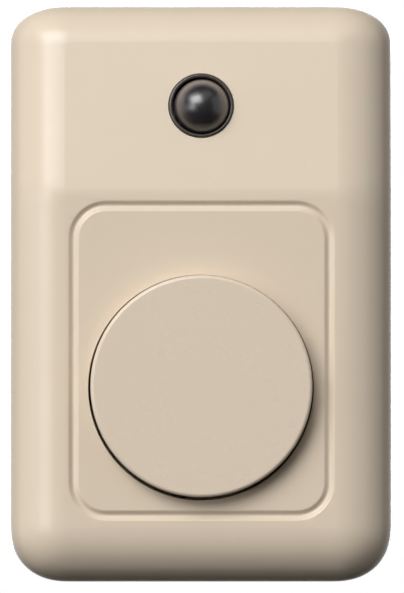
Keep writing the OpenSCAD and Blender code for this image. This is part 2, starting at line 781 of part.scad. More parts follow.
base_plate();
front_cover();
push_button();
return_spring();
contact_bridge();
bridge_contacts();
bridge_clip();
contact_block();
fixed_contact_left();
fixed_contact_right();
fixed_contact_rivets();
terminal_clamps();
terminal_screws();
block_screws();
lens_bezel();
indicator_lens();
lens_retainer();
indicator_led();
lamp_board();
series_resistor();
rectifier_diode();
board_screws();
lamp_wire_left();
lamp_wire_right();
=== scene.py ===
# %% [markdown]
# # A wall-mounted bell push
# An ivory cushion of moulded plastic carries a smoked lens on its sloping brow and a large round button
# on its deck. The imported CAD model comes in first, as a frame that never moves. Every visible surface is
# then built over it, in metres, with +Z up the wall and the front facing -Y.

# %% The frame
import math
import bmesh
import bpy
import numpy as np
from mathutils import Matrix, Vector
from mathutils.geometry import delaunay_2d_cdt


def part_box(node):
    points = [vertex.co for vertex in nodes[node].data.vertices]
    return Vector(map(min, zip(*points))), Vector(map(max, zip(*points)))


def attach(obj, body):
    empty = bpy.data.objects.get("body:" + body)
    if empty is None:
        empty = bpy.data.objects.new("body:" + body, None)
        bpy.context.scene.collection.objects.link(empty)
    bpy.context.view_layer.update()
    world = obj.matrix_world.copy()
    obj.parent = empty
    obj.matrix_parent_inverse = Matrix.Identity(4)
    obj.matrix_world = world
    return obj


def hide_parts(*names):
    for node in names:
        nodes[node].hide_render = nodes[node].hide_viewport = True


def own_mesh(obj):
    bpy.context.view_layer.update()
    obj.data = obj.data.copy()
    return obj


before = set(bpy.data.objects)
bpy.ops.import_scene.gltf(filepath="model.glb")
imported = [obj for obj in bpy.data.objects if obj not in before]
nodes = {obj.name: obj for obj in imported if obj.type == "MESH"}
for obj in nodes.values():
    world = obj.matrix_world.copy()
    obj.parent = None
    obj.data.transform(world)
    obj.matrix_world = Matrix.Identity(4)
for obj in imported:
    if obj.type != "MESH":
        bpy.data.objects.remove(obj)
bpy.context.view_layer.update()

MM = 0.001

# %% [markdown]
# ## Drawing on the face
# A bell push is easiest to think of lying on its back: x to the right, y up the wall and z out of the
# wall, in millimetres. One matrix, `FACE`, stands such a drawing up in the frame. `Draft` collects points
# in the drawing and skins them with faces, loop by loop, so that a whole shell can be one closed mesh.
# Boolean cuts would also work, but loops keep the edges clean enough for soft highlights.

# %% A drafting helper
FACE = Matrix.Rotation(math.pi / 2, 4, "X") @ Matrix.Scale(MM, 4)
INSIDE_ONLY, SAME_POINT = 1, 1e-6


class Draft:
    def __init__(self):
        self.points = []
        self.faces = []

    def loop(self, points):
        """Adds one row of points and gives their numbers back."""
        start = len(self.points)
        self.points.extend(tuple(map(float, p)) for p in points)
        return list(range(start, len(self.points)))

    def skin(self, loops):
        """Closed bands of quads from each loop to the next."""
        for a, b in zip(loops, loops[1:]):
            n = len(a)
            self.faces += [(a[i], a[(i + 1) % n], b[(i + 1) % n], b[i]) for i in range(n)]

    def cap(self, loop, flip=False):
        """One face across a loop."""
        self.faces.append(tuple(reversed(loop)) if flip else tuple(loop))

    def fill(self, outer, holes=(), flip=False):
        """Triangles across the flat between an outer loop and the convex holes in it."""
        used = list(outer) + [i for hole in holes for i in hole]
        flat = [Vector(self.points[i][:2]) for i in used]
        edges = []
        start = 0
        for loop in (outer, *holes):
            n = len(loop)
            edges += [(start + i, start + (i + 1) % n) for i in range(n)]
            start += n
        spots, _, triangles, origin, _, _ = delaunay_2d_cdt(flat, edges, [], INSIDE_ONLY, SAME_POINT)
        rims = [np.array([self.points[i][:2] for i in hole]) for hole in holes]
        for triangle in triangles:
            middle = np.mean([spots[i] for i in triangle], axis=0)
            if not any(inside(rim, middle) for rim in rims):
                self.cap([used[origin[i][0]] for i in triangle], flip)

    def mesh(self, name):
        """The drawing as a mesh, stood up in the frame."""
        mesh = bpy.data.meshes.new(name)
        mesh.from_pydata(self.points, [], self.faces)
        mesh.validate()
        mesh.transform(FACE)
        return mesh


def inside(rim, point):
    """True if the point lies inside a convex loop that runs anticlockwise."""
    ahead = np.roll(rim, -1, axis=0) - rim
    across = point - rim
    return bool(np.all(ahead[:, 0] * across[:, 1] - ahead[:, 1] * across[:, 0] > 0))


print("10 mm out of the wall, in the frame:", [round(c, 4) for c in FACE @ Vector((0, 0, 10))])

# %% [markdown]
# ## From mesh to piece
# A finished piece needs smooth shading that still breaks at real corners, a material, and a CAD body to
# ride on. Normals weighted by face area keep the big flats flat and let the small fillets carry the bend.

# %% A finishing helper
SHARP_ANGLE = math.radians(32)


def piece(name, mesh, material, body, slot, *stands_for):
    """Puts a mesh into the scene as a piece that rides on a body and stands for CAD nodes."""
    mesh.shade_smooth()
    mesh.set_sharp_from_angle(angle=SHARP_ANGLE)
    mesh.materials.clear()
    mesh.materials.append(material)
    obj = bpy.data.objects.new(name, mesh)
    bpy.context.scene.collection.objects.link(obj)
    weighted = obj.modifiers.new("even_normals", "WEIGHTED_NORMAL")
    weighted.keep_sharp = True
    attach(obj, body)
    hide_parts(*stands_for)
    print(name, "faces:", len(mesh.polygons))
    return obj


# %% [markdown]
# ## Colours and nodes
# Colours are written as sRGB hex, the way a paint chart gives them, and one function turns them into the
# linear values that shaders work in. One more function adds a node, with its settings and its links.

# %% Colour and node helpers
def linear(hex_code):
    """Turns sRGB hex into linear RGBA."""
    parts = [int(hex_code[i:i + 2], 16) / 255 for i in (1, 3, 5)]
    return (*(c / 12.92 if c <= 0.04045 else ((c + 0.055) / 1.055) ** 2.4 for c in parts), 1.0)


def add(tree, kind, inputs=None, **settings):
    """Adds a node, sets its properties, and sets or links its inputs."""
    node = tree.nodes.new(kind)
    for key, value in settings.items():
        setattr(node, key, value)
    for key, value in (inputs or {}).items():
        if isinstance(value, bpy.types.NodeSocket):
            tree.links.new(value, node.inputs[key])
        else:
            node.inputs[key].default_value = value
    return node


def new_material(name):
    """An empty material, with its tree and the coordinates that its patterns follow."""
    material = bpy.data.materials.new(name)
    material.use_nodes = True
    tree = material.node_tree
    tree.nodes.clear()
    place = add(tree, "ShaderNodeTexCoord").outputs["Object"]
    return material, tree, place


def finish_with(tree, settings):
    """Ends a material in one shader with these settings."""
    shader = add(tree, "ShaderNodeBsdfPrincipled", settings)
    add(tree, "ShaderNodeOutputMaterial", {"Surface": shader.outputs["BSDF"]})


def per_metre(size_mm):
    """Texture scale at which one cell of a pattern is this many millimetres wide."""
    return 1 / (size_mm * MM)


print("ivory in linear light:", [round(c, 3) for c in linear("#dacbb7")])

# %% [markdown]
# ## Moulded plastics
# The cover and the button are ABS, injection-moulded in a polished tool: a warm ivory with a soft gloss.
# What gives such a surface away as plastic is a faint cloudiness of colour, a gloss that varies a little
# from place to place, and a fine grain that breaks the highlight. All three come from noise at real sizes.

# %% Moulded plastic
NOISE_LOW, NOISE_HIGH = 0.3, 0.7  # most of a noise's values lie between these
GLOSS_SWING = 0.03


def moulded_plastic(name, pale, dark, roughness, cloud_mm, grain_mm, grain_depth_mm, ior):
    """Plastic from a mould: cloudy colour, uneven gloss and a fine grain."""
    material, tree, place = new_material(name)
    cloud = add(tree, "ShaderNodeTexNoise", {
        "Vector": place, "Scale": per_metre(cloud_mm), "Detail": 8.0, "Roughness": 0.7})
    grain = add(tree, "ShaderNodeTexNoise", {"Vector": place, "Scale": per_metre(grain_mm), "Detail": 2.0})
    colour = add(tree, "ShaderNodeMix", {
        "Factor": cloud.outputs["Fac"], "A": linear(pale), "B": linear(dark)}, data_type="RGBA")
    gloss = add(tree, "ShaderNodeMapRange", {
        "Value": cloud.outputs["Fac"], "From Min": NOISE_LOW, "From Max": NOISE_HIGH,
        "To Min": roughness - GLOSS_SWING, "To Max": roughness + GLOSS_SWING})
    relief = add(tree, "ShaderNodeBump", {
        "Height": grain.outputs["Fac"], "Strength": 1.0, "Distance": grain_depth_mm * MM})
    finish_with(tree, {
        "Base Color": colour.outputs["Result"], "Roughness": gloss.outputs["Result"],
        "Normal": relief.outputs["Normal"], "IOR": ior})
    return material


# The grain of a polished tool is finer than a pixel, so it is drawn at 0.3 mm, where it just shows. Grain
# dulls the gloss, and an index of 1.43 stands for that, where bulk ABS has 1.53.
cover_abs = moulded_plastic("semi_gloss_ivory_abs", "#dacbb7", "#d6c6b1", 0.25, 9, 0.3, 0.0006, 1.43)
button_abs = moulded_plastic("satin_ivory_abs", "#d9cab6", "#d7c7b3", 0.28, 9, 0.3, 0.0006, 1.43)
# The base plate comes from an unpolished tool: flatter in gloss and a little greyer.
base_abs = moulded_plastic("matt_ivory_abs", "#d6c7b2", "#cdbda7", 0.5, 6, 0.4, 0.003, 1.49)
# Glass-filled nylon shows a soft sheen, with a slight mottle from its fibres.
black_nylon = moulded_plastic("moulded_black_nylon", "#4a423e", "#3b3532", 0.27, 1.5, 0.25, 0.002, 1.53)
# Phenolic is filled with wood flour, which shows as fine brown speckles.
brown_phenolic = moulded_plastic("moulded_brown_phenolic", "#5a4435", "#38291f", 0.38, 0.5, 0.3, 0.003, 1.6)
# PVC insulation is smooth and slightly waxy.
blue_pvc = moulded_plastic("extruded_blue_pvc", "#3a4a78", "#2c3a63", 0.4, 2, 0.4, 0.001, 1.53)
red_pvc = moulded_plastic("extruded_red_pvc", "#a03a32", "#8a2d27", 0.4, 2, 0.4, 0.001, 1.53)
plastics = (cover_abs, button_abs, base_abs, black_nylon, brown_phenolic, blue_pvc, red_pvc)
print("moulded plastics:", [m.name for m in plastics])

# %% [markdown]
# ## Metals
# Strip, wire and screws all show the way they were worked. Rolled strip and drawn wire carry fine lines
# along their length, and plating breaks up into soft patches. Noise that is stretched in one direction
# gives the lines, and a second, broad noise gives the patches.

# %% Worked metal
LINE_DEPTH_MM = 0.004
GLOSS_BELOW, GLOSS_ABOVE = 0.06, 0.08


def worked_metal(name, bright, dull, roughness, line_mm, run_mm, patch_mm):
    """Metal with fine lines along x, line_mm apart and run_mm long, and duller patches."""
    material, tree, place = new_material(name)
    stretch = add(tree, "ShaderNodeMapping", {
        "Vector": place, "Scale": (per_metre(run_mm), per_metre(line_mm), per_metre(line_mm))})
    lines = add(tree, "ShaderNodeTexNoise", {
        "Vector": stretch.outputs["Vector"], "Scale": 1.0, "Detail": 2.0})
    patch = add(tree, "ShaderNodeTexNoise", {"Vector": place, "Scale": per_metre(patch_mm), "Detail": 4.0})
    colour = add(tree, "ShaderNodeMix", {
        "Factor": patch.outputs["Fac"], "A": linear(bright), "B": linear(dull)}, data_type="RGBA")
    gloss = add(tree, "ShaderNodeMapRange", {
        "Value": lines.outputs["Fac"], "From Min": NOISE_LOW, "From Max": NOISE_HIGH,
        "To Min": roughness - GLOSS_BELOW, "To Max": roughness + GLOSS_ABOVE})
    relief = add(tree, "ShaderNodeBump", {
        "Height": lines.outputs["Fac"], "Strength": 1.0, "Distance": LINE_DEPTH_MM * MM})
    finish_with(tree, {
        "Base Color": colour.outputs["Result"], "Roughness": gloss.outputs["Result"],
        "Normal": relief.outputs["Normal"], "Metallic": 1.0})
    return material


# Lines on real strip are some hundredths of a millimetre apart, and are drawn coarser so that they show.
# Rolled brass is a warm yellow with long fine lines.
brass = worked_metal("rolled_brass", "#d8b763", "#b08c3e", 0.3, 0.12, 6, 3)
# A turned silver contact is nearly white, with short soft lines.
silver = worked_metal("turned_silver", "#e6e3dd", "#cdc9c2", 0.22, 0.15, 0.6, 1)
# Drawn spring steel is a plain grey with a clean gloss.
spring_steel = worked_metal("drawn_spring_steel", "#b9babd", "#97989c", 0.26, 0.1, 2, 2)
# Zinc plate is a cool grey that breaks up into small patches.
zinc_plate = worked_metal("zinc_plated_steel", "#c9cccf", "#a9aeb0", 0.32, 0.15, 0.8, 1.2)
# Tinned copper is pale, and soft in its gloss.
tin = worked_metal("tinned_copper", "#d2d1cd", "#b7b6b1", 0.34, 0.15, 1, 0.8)
print("metals:", [m.name for m in (brass, silver, spring_steel, zinc_plate, tin)])

# %% [markdown]
# ## Sizes of the cushion
# The driving sizes come from the CAD boxes where a box shows them, and are repeated here in millimetres
# where it doesn't. The cushion is a rule, not a list of points: a flat deck with rolled edges, a plane
# that leans back above the crease, and corners where two rolls meet. A roll is a little fuller than a
# quarter circle, so that it leaves the flat gently, and the shading has no hard start. The crease is crisp
# across the middle and fades out round the sides, where two rolls run into each other.

# %% Sizes of the cushion
def face_box(node):
    """Lowest and highest corner of a CAD node, in the face drawing."""
    low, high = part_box(node)
    return Vector((low.x, low.z, -high.y)) / MM, Vector((high.x, high.z, -low.y)) / MM


cover_low, cover_high = face_box("front_cover")
HALF_W = cover_high.x
HALF_H = cover_high.y
DECK = cover_high.z
RIM = cover_low.z
WALL = 2.0
EDGE_R = 8.3
HEAD_R = 5.6
CORNER_POWER = 2.35
ROLL_POWER = 2.2
BROW_H = 26
CREASE = HALF_H - BROW_H
CREASE_BLEND = 0.1
SIDE_BLEND = 0.5
TILT = math.radians(10)
FLAT_X = HALF_W - EDGE_R
LOW_Y = EDGE_R - HALF_H
HIGH_Y = HALF_H - HEAD_R
TINY = 1e-9


def lower_of(a, b, blend):
    """The lower of two heights, rounded over where they come within blend of each other."""
    share = np.clip(0.5 + 0.5 * (b - a) / blend, 0, 1)
    return b + (a - b) * share - blend * share * (1 - share)


def cushion(x, y, inset=0.0):
    """Height of the cushion's skin over a point of the face, drawn in by inset on every side."""
    edge, head = EDGE_R - inset, HEAD_R - inset
    side = np.clip((np.abs(x) - FLAT_X) / edge, 0, 1) ** CORNER_POWER
    foot = np.clip((LOW_Y - y) / edge, 0, 1) ** CORNER_POWER
    top = np.clip((y - HIGH_Y) / head, 0, 1) ** CORNER_POWER
    low = np.clip((side + foot) ** (1 / CORNER_POWER), 0, 1)
    high = np.clip((side + top) ** (1 / CORNER_POWER), 0, 1)
    deck = DECK - inset - edge * (1 - (1 - low ** ROLL_POWER) ** (1 / ROLL_POWER))
    brow_r = edge + (head - edge) * top / np.maximum(side + top, TINY)
    plane = DECK - inset / math.cos(TILT) - (y - CREASE) * math.tan(TILT)
    brow = plane - brow_r * (1 - (1 - high ** ROLL_POWER) ** (1 / ROLL_POWER))
    return lower_of(deck, brow, CREASE_BLEND + SIDE_BLEND * side ** (1 / CORNER_POWER))


print("cushion in mm:", round(2 * HALF_W, 1), "by", round(2 * HALF_H, 1), "deck", round(DECK, 2))

# %% [markdown]
# ## Rings round the cushion
# The skin is built from closed rings that follow the outline, each a little further in. Steps of about
# equal tilt put the rings close together where the roll is steep. Rows bunch up at the crease, so that its
# fold has enough faces. A subdivided box would be quicker to make, but its rows wouldn't follow the crease.
# Two points close together on each side of the middle make room for a notch in the bottom rim, where a
# screwdriver lifts the cover off.

# %% Rings round the cushion
CORNER_STEPS = 18
PRY_HALF = 4.0
PRY_DEPTH = 1.8
PRY_DRAFT = 0.15
TILT_STEP = math.radians(2.5)
LEAST_REACH = 0.08
FOLD_FROM, FOLD_TO, FOLD_STEP = -2.9, 1.51, 0.14
FOLD_ROWS = np.arange(FOLD_FROM, FOLD_TO, FOLD_STEP)
ROW_STEP = 2.4
BROW_ROWS = 8
STRIP_HALF = 0.71

below = np.arange(LOW_Y, CREASE + FOLD_ROWS[0], ROW_STEP)
above = np.linspace(CREASE + FOLD_ROWS[-1], HIGH_Y, BROW_ROWS + 1)[1:]
ROWS = np.concatenate([below, CREASE + FOLD_ROWS, above])
# Columns of points from the right-hand side to the middle: two close together end the notch.
half_span = np.array([15.2, 12.1, 9.1, 6.6, PRY_HALF + PRY_DRAFT, PRY_HALF, 2.0])
ACROSS = np.concatenate([half_span, [0.0], -half_span[::-1]])
turn = np.linspace(0, math.pi / 2, CORNER_STEPS + 1)
bend = np.stack([np.cos(turn), np.sin(turn)], 1).clip(0) ** (2 / CORNER_POWER)
tilts = np.arange(math.pi / 2, math.asin(LEAST_REACH), -TILT_STEP)
REACHES = np.append(np.sin(tilts), LEAST_REACH)


def ring(reach, inset=0.0):
    """Outline of the cushion at a share of its roll, anticlockwise from the foot of the right side."""
    edge, head = (EDGE_R - inset) * reach, (HEAD_R - inset) * reach
    right = [(FLAT_X + edge, y) for y in ROWS]
    top_right = [(FLAT_X + edge * c, HIGH_Y + head * s) for c, s in bend[1:]]
    top = [(x, HIGH_Y + head) for x in ACROSS]
    low_right = [(FLAT_X + edge * s, LOW_Y - edge * c) for c, s in bend[:-1]]
    bottom = [(-x, LOW_Y - edge) for x in ACROSS]
    left = [(-x, y) for x, y in reversed(right + top_right)]
    low_left = [(-x, y) for x, y in reversed(low_right)]
    return np.array(right + top_right + top + left + low_left + bottom + low_right)


def on_skin(plan, inset=0.0):
    """Lifts a plan outline on to the cushion's skin."""
    return np.column_stack([plan, cushion(plan[:, 0], plan[:, 1], inset)])


def at_height(plan, z):
    """Lifts a plan outline to one height."""
    return np.column_stack([plan, np.full(len(plan), z)])


print("rings:", len(REACHES), "points a ring:", len(ring(1.0)))

# %% [markdown]
# ## The front cover
# The cover is one injection-moulded shell, 2 mm thick. It could be a cube with bevels and booleans, but
# its charm is in how the brow rolls into the sides and meets the deck at a fine crease. So outer skin,
# rim, inner skin, groove, button collar and lens boss are drawn as one chain of loops, and only the flat
# areas are filled with triangles.

# %% The cover's skins
RIM_R = 0.3
EASED = 0.3  # a rounded corner stands in from its tip by about this share of its radius


def rim_ring(inset, z):
    """A ring of the rim, raised where the notch is."""
    plan = ring(1.0, inset)
    in_notch = (np.abs(plan[:, 0]) <= PRY_HALF) & (plan[:, 1] < LOW_Y)
    return np.column_stack([plan, z + PRY_DEPTH * in_notch])


cover = Draft()
outer = [cover.loop(on_skin(ring(reach))) for reach in REACHES]
inner = [cover.loop(on_skin(ring(reach, WALL), WALL)) for reach in REACHES[::-1]]
rim_profile = ((WALL, RIM + RIM_R), (WALL - RIM_R, RIM), (RIM_R, RIM),
               (RIM_R * EASED, RIM + RIM_R * EASED), (0.0, RIM + RIM_R))
rim = [cover.loop(rim_ring(inset, z)) for inset, z in rim_profile]
cover.skin(inner + rim + outer)

row_count = len(ROWS)
strip = [i for i, y in enumerate(ROWS) if abs(y - CREASE) <= STRIP_HALF]
left_top = row_count + 2 * CORNER_STEPS + len(ACROSS)


def bridge_crease(edge_loop, flip):
    """Bridges the crease from side to side, and gives the loops round the deck and the brow."""
    left = [left_top + row_count - 1 - i for i in range(row_count)]
    for a, b in zip(strip, strip[1:]):
        cover.cap((edge_loop[a], edge_loop[b], edge_loop[left[b]], edge_loop[left[a]]), flip)
    deck = edge_loop[left[strip[0]]:] + edge_loop[:strip[0] + 1]
    brow = edge_loop[strip[-1]:left[strip[-1]] + 1]
    return deck, brow


deck_loop, brow_loop = bridge_crease(outer[-1], flip=False)
deck_back, brow_back = bridge_crease(inner[0], flip=True)
print("crease rows:", len(strip), "deck loop:", len(deck_loop), "brow loop:", len(brow_loop))

# %% [markdown]
# ### Groove
# A rounded channel runs round the button panel, where the mould has a rib. Its section is a smooth cosine,
# so that it shows one soft dark line and one soft bright one. A swept cutter could carve it out of the deck,
# but loops that sink into the deck leave no ragged edge.

# %% Groove
button_low, button_high = face_box("push_button")
FLANGE_REACH, BUTTON_TRIM = 1.2, 0.16
BUTTON_R = button_high.x - FLANGE_REACH - BUTTON_TRIM
BUTTON_Y = (button_low.y + button_high.y) / 2
BUTTON_TOP = button_high.z
PANEL_MARGIN, PANEL_HEAD, PANEL_FOOT = 2.36, 1.85, 2.56
GROOVE_X = BUTTON_R + PANEL_MARGIN
GROOVE_TOP = CREASE - PANEL_HEAD
GROOVE_BOTTOM = BUTTON_Y - BUTTON_R - PANEL_FOOT
GROOVE_R = 4.5
GROOVE_HALF = 0.8
GROOVE_DEPTH = 0.44
GROOVE_STEPS = 14
SPAN_STEPS = 12


def groove_path(offset):
    """The groove's centre line, moved out by offset, anticlockwise from the foot of its right side."""
    r = GROOVE_R + offset
    x, top, bottom = GROOVE_X - GROOVE_R, GROOVE_TOP - GROOVE_R, GROOVE_BOTTOM + GROOVE_R
    quarter = np.linspace(0, math.pi / 2, GROOVE_STEPS + 1)
    run = np.linspace(bottom, top, GROOVE_STEPS + 1)
    span = np.linspace(x, -x, SPAN_STEPS + 1)[1:-1]
    top_right = [(x + r * math.cos(a), top + r * math.sin(a)) for a in quarter]
    low_right = [(x + r * math.sin(a), bottom - r * math.cos(a)) for a in quarter]
    path = [(x + r, y) for y in run[:-1]] + top_right + [(u, top + r) for u in span]
    path += [(-u, y) for u, y in reversed(top_right)] + [(-x - r, y) for y in run[::-1][1:-1]]
    path += [(-u, y) for u, y in reversed(low_right)] + [(-u, bottom - r) for u in span] + low_right[:-1]
    return np.array(path)


offsets = np.linspace(GROOVE_HALF, -GROOVE_HALF, GROOVE_STEPS + 1)
depths = GROOVE_DEPTH / 2 * (1 + np.cos(math.pi * offsets / GROOVE_HALF))
groove = [cover.loop(on_skin(groove_path(u)) - (0, 0, d)) for u, d in zip(offsets, depths)]
cover.skin(groove)
cover.fill(deck_loop, [groove[0]])
print("groove loop:", len(groove[0]), "depth in mm:", GROOVE_DEPTH)

# %% [markdown]
# ### Button hole
# The hole has a slightly softened lip and drops into a guide collar. It sits a fifth of a millimetre low, so
# that the button stands close to the top of its hole and the gap opens below. A boolean would leave a sharp
# lip that needs a bevel, and rings of points round the hole's axis give lip and collar in one go.

# %% Button hole
SIDE_GAP = 0.24
COLLAR_WALL = 1.5
COLLAR_R = BUTTON_R + SIDE_GAP
COLLAR_OUT = COLLAR_R + COLLAR_WALL
COLLAR_Z = 12.0
HOLE_LEFT, HOLE_DOWN = 0.05, 0.22
LIP_R, LIP_STEPS = 0.1, 4
BREAK, FINE_BREAK = 0.2, 0.1
HOLE_STEPS = 144


def circle(r, z, steps, x=0.0, y=0.0):
    """An anticlockwise ring of points round the z axis, or round a point (x, y) of the face."""
    a = np.arange(steps) * 2 * math.pi / steps
    return np.column_stack([x + r * np.cos(a), y + r * np.sin(a), np.full(steps, z)])


def arc_points(cx, cz, r, start, end, steps):
    """Points (radius, height) of an arc, with its angles in degrees."""
    angles = np.radians(np.linspace(start, end, steps + 1))
    return [(cx + r * math.cos(a), cz + r * math.sin(a)) for a in angles]


lip = [(COLLAR_R + LIP_R - x, DECK - LIP_R + z) for x, z in arc_points(0, 0, LIP_R, 90, 0, LIP_STEPS)]
collar_profile = lip + [
    (COLLAR_R, COLLAR_Z + BREAK), (COLLAR_R + BREAK, COLLAR_Z), (COLLAR_OUT - BREAK, COLLAR_Z),
    (COLLAR_OUT, COLLAR_Z + BREAK), (COLLAR_OUT, DECK - WALL)]
collar = [cover.loop(circle(r, z, HOLE_STEPS, -HOLE_LEFT, BUTTON_Y - HOLE_DOWN)) for r, z in collar_profile]
cover.skin(collar)
cover.fill(groove[-1], [collar[0]])
cover.fill(deck_back, [collar[-1]], flip=True)
print("gap round the button in mm:", round(COLLAR_R - BUTTON_R, 2))

# %% [markdown]
# ### Lens hole and boss
# Behind the brow a round boss takes the bezel, the lens and its retaining ring. It stands square to the
# sloping brow, so its rings are drawn upright and then leaned back.

# %% Lens hole and boss
LENS_DOWN = 14
LENS_Y = HALF_H - LENS_DOWN
LENS_Z = DECK - (LENS_Y - CREASE) * math.tan(TILT)
LENS_STEPS = 96
LENS_HOLE_R = 4.55
LENS_HOLE_BREAK = 0.04
BOSS_BORE_R = 5.6
BOSS_R = 7.0
BOSS_BACK = -4.95


def at_lens(points):
    """Moves points to the lens, with z square to the brow."""
    p = np.asarray(points, float)
    c, s = math.cos(TILT), math.sin(TILT)
    return np.column_stack([p[:, 0], LENS_Y + c * p[:, 1] + s * p[:, 2], LENS_Z - s * p[:, 1] + c * p[:, 2]])


boss_profile = [
    (LENS_HOLE_R + LENS_HOLE_BREAK, 0.0), (LENS_HOLE_R, -LENS_HOLE_BREAK), (LENS_HOLE_R, -WALL),
    (BOSS_BORE_R, -WALL), (BOSS_BORE_R, BOSS_BACK), (BOSS_R, BOSS_BACK), (BOSS_R, -WALL)]
boss = [cover.loop(at_lens(circle(r, w, LENS_STEPS))) for r, w in boss_profile]
cover.skin(boss)
cover.fill(brow_loop, [boss[0]])
cover.fill(brow_back, [boss[-1]], flip=True)
print("lens hole in mm:", 2 * LENS_HOLE_R, "boss behind the brow:", round(-BOSS_BACK - WALL, 2))

# %% [markdown]
# ### Turning and extruding
# Posts, rings, the lens and the button are turned parts, and ribs and ridges are plates. Screw and Solidify
# modifiers could make them, but loops put either kind straight into a drawing, so that a post or a rib is
# part of the same mesh as the shell it stands on.

# %% Turning and extruding
def turned(draft, profile, steps, place):
    """Turns a profile, from the back's centre out and up to the front's centre, round an axis."""
    loops = [draft.loop(place(circle(r, z, steps))) for r, z in profile]
    draft.skin(loops)
    draft.cap(loops[0], flip=True)
    draft.cap(loops[-1])


def turned_ring(draft, profile, steps, place):
    """Turns a closed profile that never meets the axis."""
    loops = [draft.loop(place(circle(r, z, steps))) for r, z in profile]
    draft.skin(loops + loops[:1])


def prism(draft, outline, half_width, place):
    """A plate of this outline, anticlockwise, with its thickness along the place's own normal."""
    flat = np.asarray(outline, float)
    back, front = (draft.loop(place(at_height(flat, z))) for z in (-half_width, half_width))
    draft.skin([back, front])
    draft.cap(back, flip=True)
    draft.cap(front)


trial = Draft()
turned(trial, [(1, 0), (1, 2)], 8, np.asarray)
print("faces of a turned pin with eight sides:", len(trial.faces))

# %% [markdown]
# ### Inside the cover
# Two bosses take the lamp board's screws, three gussets brace the collar, and a ridge at each end catches
# the base plate's hooks. They are prisms and tubes whose outlines run half a wall deep into the shell, so
# the gussets follow the cushion's own rule.

# %% Inside the cover
board_low, board_high = face_box("lamp_board")
BOARD_SCREW_X = 9.8
POST_R, POST_BORE_R, POST_STEPS = 2.3, 1.15, 32
RIB_HALF, GUSSET_STEPS = 0.75, 24
post_top = LENS_Z - WALL / 2
post_profile = [
    (POST_BORE_R, board_high.z), (POST_R - FINE_BREAK, board_high.z), (POST_R, board_high.z + FINE_BREAK),
    (POST_R, post_top), (POST_BORE_R, post_top)]
for side in (-1, 1):
    turned_ring(cover, post_profile, POST_STEPS, lambda p: p + (side * BOARD_SCREW_X, LENS_Y, 0))


def collar_gusset(dx, dy, end):
    """A rib from the collar out to a wall, under the skin in the direction (dx, dy)."""
    reach = np.linspace(end, COLLAR_R + COLLAR_WALL / 2, GUSSET_STEPS)
    top = cushion(dx * reach, BUTTON_Y + dy * reach, WALL / 2)
    outline = [(reach[-1], COLLAR_Z), (end, COLLAR_Z), *zip(reach, top)]
    prism(cover, outline, RIB_HALF, lambda p: np.column_stack([
        dx * p[:, 0] + dy * p[:, 2], BUTTON_Y + dy * p[:, 0] - dx * p[:, 2], p[:, 1]]))


collar_gusset(1, 0, HALF_W - WALL / 2)
collar_gusset(-1, 0, HALF_W - WALL / 2)
collar_gusset(0, -1, HALF_H + BUTTON_Y - WALL / 2)

RIDGE_REACH, RIDGE_HALF = 0.9, 4
RIDGE_LOW, RIDGE_EDGE, RIDGE_TOP = 3.6, 4.0, 4.8
ridge_wall = HALF_H - WALL
ridge_root = ridge_wall + WALL / 2
ridge = [
    (ridge_root, RIDGE_LOW), (ridge_root, RIDGE_TOP), (ridge_wall - RIDGE_REACH, RIDGE_TOP),
    (ridge_wall - RIDGE_REACH, RIDGE_EDGE), (ridge_wall, RIDGE_LOW)]
for side in (-1, 1):
    prism(cover, ridge, RIDGE_HALF, lambda p: np.column_stack([side * p[:, 2], side * p[:, 0], p[:, 1]]))

cover_mesh = cover.mesh("cover_shell")
piece("cover_shell", cover_mesh, cover_abs, "housing", "cover_moulding", "front_cover")

# %% [markdown]
# ## The button
# A moulded cup with a flange that stops it under the collar. Turning a profile round an axis is what a
# lathe does, and `turned` does the same with loops. Only the top edge shows, so its fillet gets the most
# steps. Four ribs stiffen the cap from below.

# %% The button
EDGE_FILLET, EDGE_STEPS = 0.5, 12
ROOT_CUT, SKIRT_CUT = 0.4, 0.3
FLANGE_R, FLANGE_Z, FLANGE_TOP = button_high.x, 10.3, 11.8
SKIRT_T, CAP_T = 1.5, 2.0
SKIRT_R = BUTTON_R - SKIRT_T
CAP_Z = BUTTON_TOP - CAP_T
STEM_R, STEM_END, TIP_R, TIP_END = 2.5, 7.0, 1.5, button_low.z
RIB_IN, RIB_DEPTH, RIB_ROOT = 7.8, 2, 0.5
TIP_POLE_R, CAP_POLE_R, BUTTON_STEPS = 0.3, 0.5, 160


def at_button(points):
    """Moves points to the button's axis."""
    return np.asarray(points, float) + (0, BUTTON_Y, 0)


button = Draft()
button_profile = [
    (TIP_POLE_R, TIP_END), (TIP_R - BREAK, TIP_END), (TIP_R, TIP_END + BREAK), (TIP_R, STEM_END),
    (STEM_R - FINE_BREAK, STEM_END), (STEM_R, STEM_END + FINE_BREAK), (STEM_R, CAP_Z - ROOT_CUT),
    (STEM_R + ROOT_CUT, CAP_Z), (SKIRT_R - SKIRT_CUT, CAP_Z), (SKIRT_R, CAP_Z - SKIRT_CUT),
    (SKIRT_R, FLANGE_Z), (FLANGE_R - BREAK, FLANGE_Z), (FLANGE_R, FLANGE_Z + BREAK),
    (FLANGE_R, FLANGE_TOP - BREAK), (FLANGE_R - BREAK, FLANGE_TOP), (BUTTON_R, FLANGE_TOP)]
button_profile += arc_points(
    BUTTON_R - EDGE_FILLET, BUTTON_TOP - EDGE_FILLET, EDGE_FILLET, 0, 90, EDGE_STEPS)
button_profile += [(BUTTON_R / 2, BUTTON_TOP), (CAP_POLE_R, BUTTON_TOP)]
turned(button, button_profile, BUTTON_STEPS, at_button)
rib_out, rib_top, rib_foot = SKIRT_R + RIB_ROOT, CAP_Z + RIB_ROOT, CAP_Z - RIB_DEPTH
rib = [(RIB_IN, rib_top), (RIB_IN, rib_foot), (rib_out, rib_foot), (rib_out, rib_top)]
